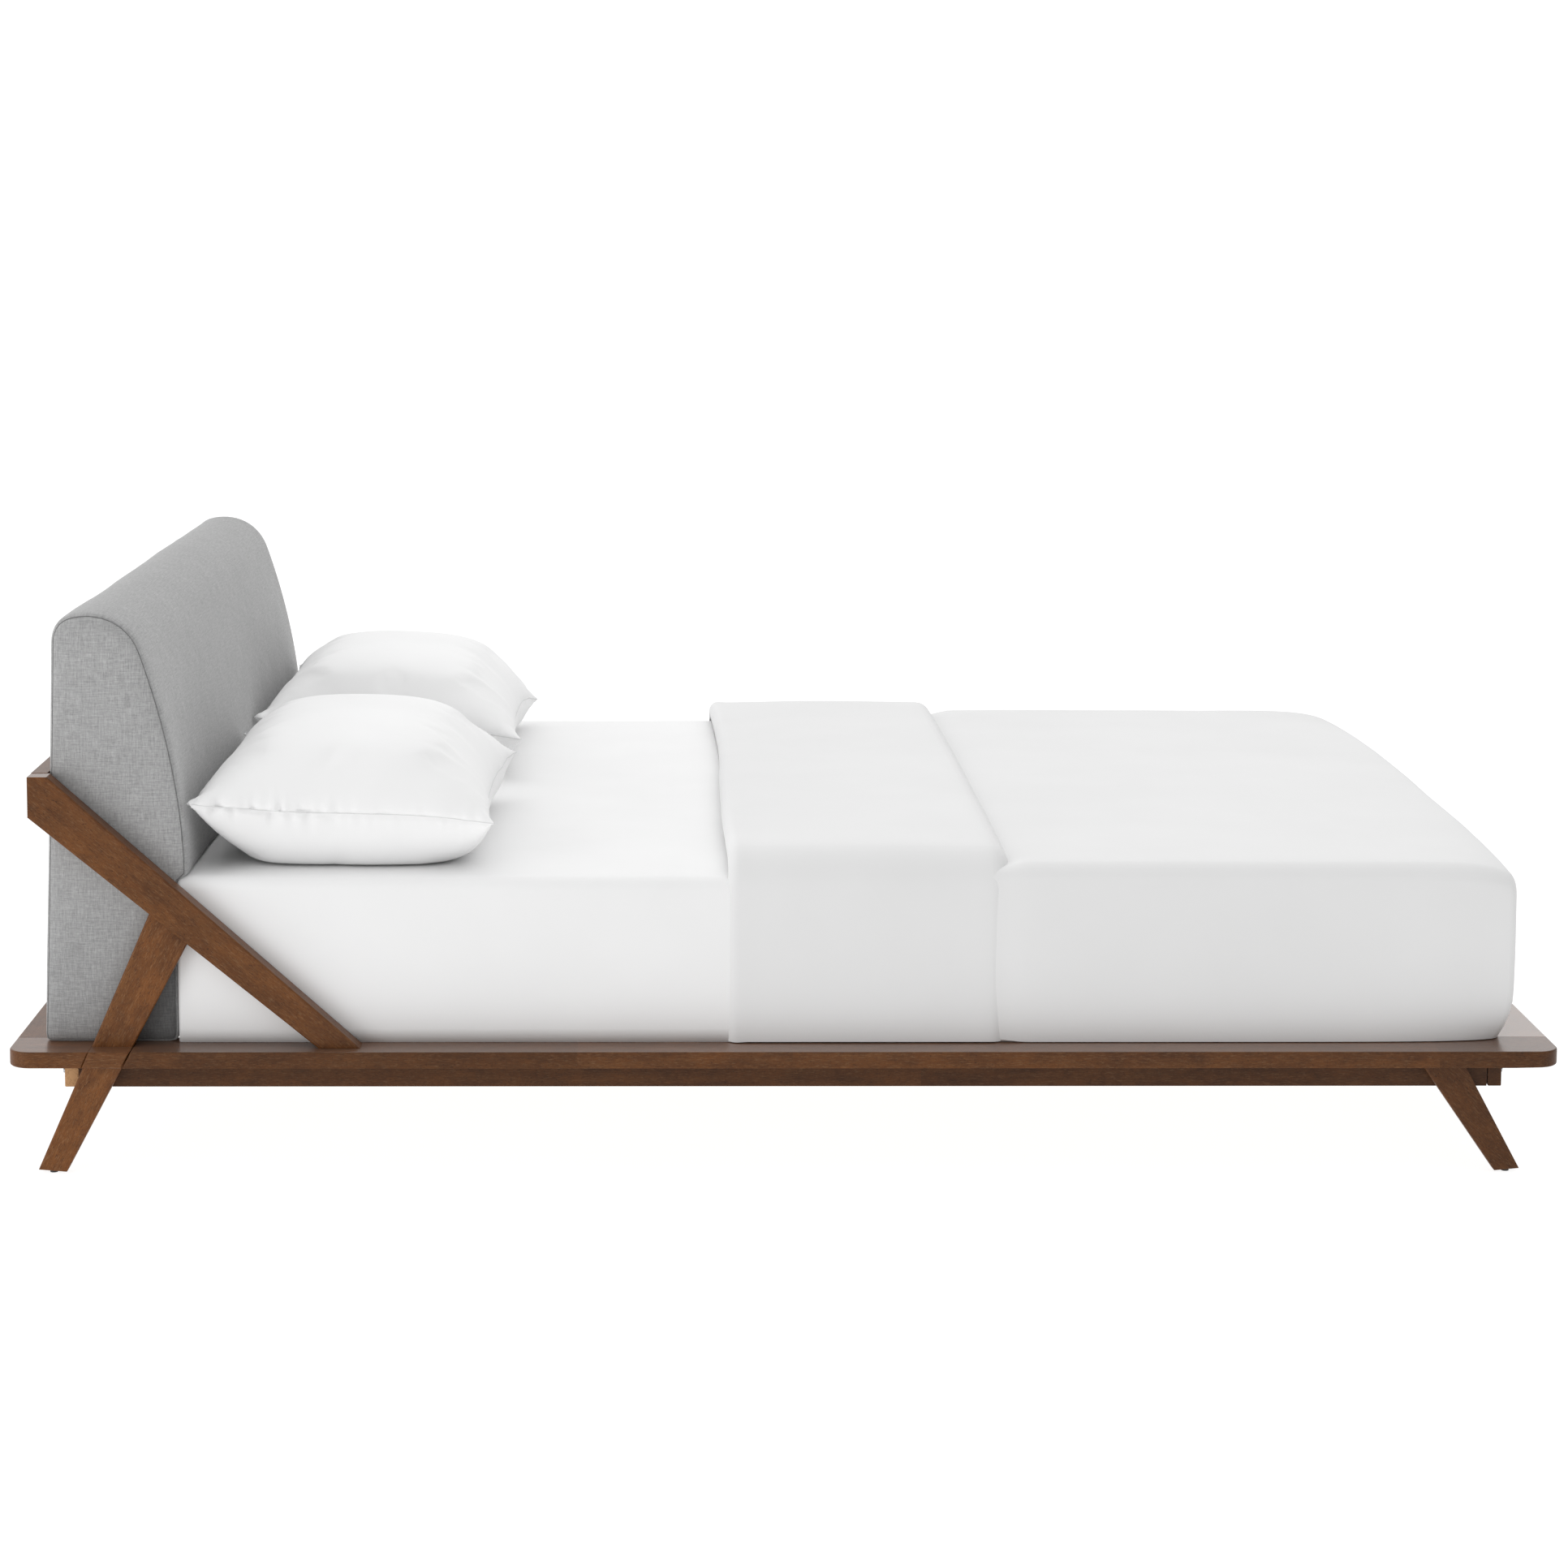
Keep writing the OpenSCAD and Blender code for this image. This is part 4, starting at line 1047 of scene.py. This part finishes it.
def make_pillow(side, cotton, thread, seed, tilt, droop):
    """A pillow and its seam. tilt raises its head side, and droop lowers its outer foot corner."""
    node = f"pillow_{side}"
    low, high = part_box(node)
    half_x, half_y = (high.x - low.x) / 2, (high.y - low.y) / 2
    height = high.z - low.z
    obj, place, rim = pillow_panels(f"{node}_case", half_x, half_y, height - PILLOW_SEAM,
                                    1.25 * PILLOW_SEAM)
    points = np.array([vertex.co for vertex in obj.data.vertices])
    move = inflate(obj, rim) - points
    far = np.linalg.norm(move, axis=1)[:, None]
    points += move * np.minimum(1, MOST_MOVE / np.maximum(far, 1e-9))
    obj.data.vertices.foreach_set("co", points.ravel())
    points, normals, place = split_finer(obj, place, rim)
    points += gathers(points, place, half_x, half_y, seed)[:, None] * normals
    u, v = place[:, 0], place[:, 1]
    points[:, 2] += -tilt * u * (0.35 + 0.65 * u * u) \
        - droop * np.clip(u, 0, 1) ** 3 * np.clip(v if side == "left" else -v, 0, 1) ** 3
    points[:, 2] += 0.0015 * ripples(points, 0.12, seed) + PILLOW_SEAM
    points[:, 2] = PRESSED * np.logaddexp(0, points[:, 2] / PRESSED)
    points[:, 2] *= height / points[:, 2].max()
    points += ((low.x + high.x) / 2, (low.y + high.y) / 2, low.z)
    obj.data.vertices.foreach_set("co", points.ravel())
    obj.data.update()
    obj.data.shade_smooth()
    rim = np.nonzero(np.maximum(np.abs(u), np.abs(v)) > 0.9999)[0]
    rim = rim[np.argsort(np.arctan2(v[rim], u[rim]))]
    seam = ring_tube(f"{node}_seam", points[rim], PILLOW_THREAD, 6)
    finished(seam, thread, body=node)
    finished(obj, cotton, body=node, replaced=[node])


def make_pillows():
    cotton = white_cotton("white_pillowcase", rgb(243, 243, 243), 0.3, 14.0, uv=True)
    # A real seam whose thread is darker than the case, as painted shade of the seam line
    thread = white_cotton("white_pillow_seam_painted_shade", rgb(222, 222, 222), 0.3, 60.0)
    make_pillow("right", cotton, thread, seed=1.0, tilt=0.016, droop=0.0)
    make_pillow("left", cotton, thread, seed=2.0, tilt=0.020, droop=0.03)


# ---------- hidden parts, studio and camera ----------


def finish_hidden_parts():
    """Gives the CAD nodes that stay as they are a material of their slot."""
    made = {
        "zinc_steel": metal("zinc_steel", rgb(196, 198, 202), 0.32),
        "brass_insert": metal("brass_insert", rgb(206, 164, 84), 0.36),
        "black_plastic": black_plastic(),
        "bare_wood": pale_wood("dowel_wood", Y, *BARE_WOOD),
        "plywood": plywood(),
    }
    for name, obj in nodes.items():
        if not obj.hide_render:
            for holder in obj.material_slots:
                holder.link = "OBJECT"
                holder.material = made[node_slot[name]]


FLOOR_REACH = 30.0
FLOOR_Z = -0.0003
FLOOR_GLOW = 0.90


def make_floor():
    mesh = bpy.data.meshes.new("floor")
    mesh.from_pydata([(sx * FLOOR_REACH, sy * FLOOR_REACH, FLOOR_Z) for sx, sy in
                      ((-1, -1), (1, -1), (1, 1), (-1, 1))], [], [(0, 1, 2, 3)])
    floor = new_object("floor", mesh)
    t = Tree("pale_floor", 0.9, 0.1)
    mottle = t.noise(t.coords(), 3.0, 2.0)
    t.put("Base Color", t.mix(mottle, (0.24, 0.24, 0.24, 1), (0.26, 0.26, 0.26, 1)))
    t.put("Emission Color", (1, 1, 1, 1))
    t.put("Emission Strength", FLOOR_GLOW)
    mesh.materials.append(t.material)


def add_area_light(name, place, aim, size, power):
    light = bpy.data.lights.new(name, "AREA")
    light.shape = "RECTANGLE"
    light.size, light.size_y = size
    light.energy = power
    obj = new_object(name, light)
    obj.location = place
    obj.rotation_euler = (Vector(aim) - Vector(place)).to_track_quat("-Z", "Y").to_euler()


# The surroundings are brightest behind the bed and at its head: level plus slope along the axes
WORLD_LEVEL = 0.85
WORLD_SLOPE = (-0.25, 0.31, 0.05)


def make_studio():
    world = bpy.data.worlds.new("studio")
    world.use_nodes = True
    tree = world.node_tree
    background = tree.nodes["Background"]
    background.inputs[0].default_value = (1, 1, 1, 1)
    toward = tree.nodes.new("ShaderNodeTexCoord").outputs["Generated"]
    slope = tree.nodes.new("ShaderNodeVectorMath")
    slope.operation = "DOT_PRODUCT"
    slope.inputs[1].default_value = WORLD_SLOPE
    level = tree.nodes.new("ShaderNodeMath")
    level.inputs[1].default_value = WORLD_LEVEL
    tree.links.new(toward, slope.inputs[0])
    tree.links.new(slope.outputs["Value"], level.inputs[0])
    tree.links.new(level.outputs[0], background.inputs[1])
    scene.world = world
    add_area_light("overhead", (0.2, 0.3, 3.6), (0, 0, 0), (5.0, 4.0), 34.0)
    add_area_light("key", (-3.6, -3.4, 0.9), (-0.4, -0.7, 0.35), (2.2, 1.8), 30.0)


def make_camera():
    camera = new_object("camera", bpy.data.cameras.new("camera"))
    camera.location = (-0.1516, -5.6984, 1.479)
    camera.rotation_euler = Euler([math.radians(angle) for angle in (83.848, -0.2, -0.876)])
    camera.data.lens = 76.29
    camera.data.shift_x, camera.data.shift_y = 0.029, -0.1487
    scene.camera = camera
    scene.view_settings.view_transform = "Standard"


make_platform()
make_legs_and_braces()
make_slats_and_center()
make_headboard()
make_mattress()
make_sheet()
make_duvet()
make_pillows()
finish_hidden_parts()
make_floor()
make_studio()
make_camera()
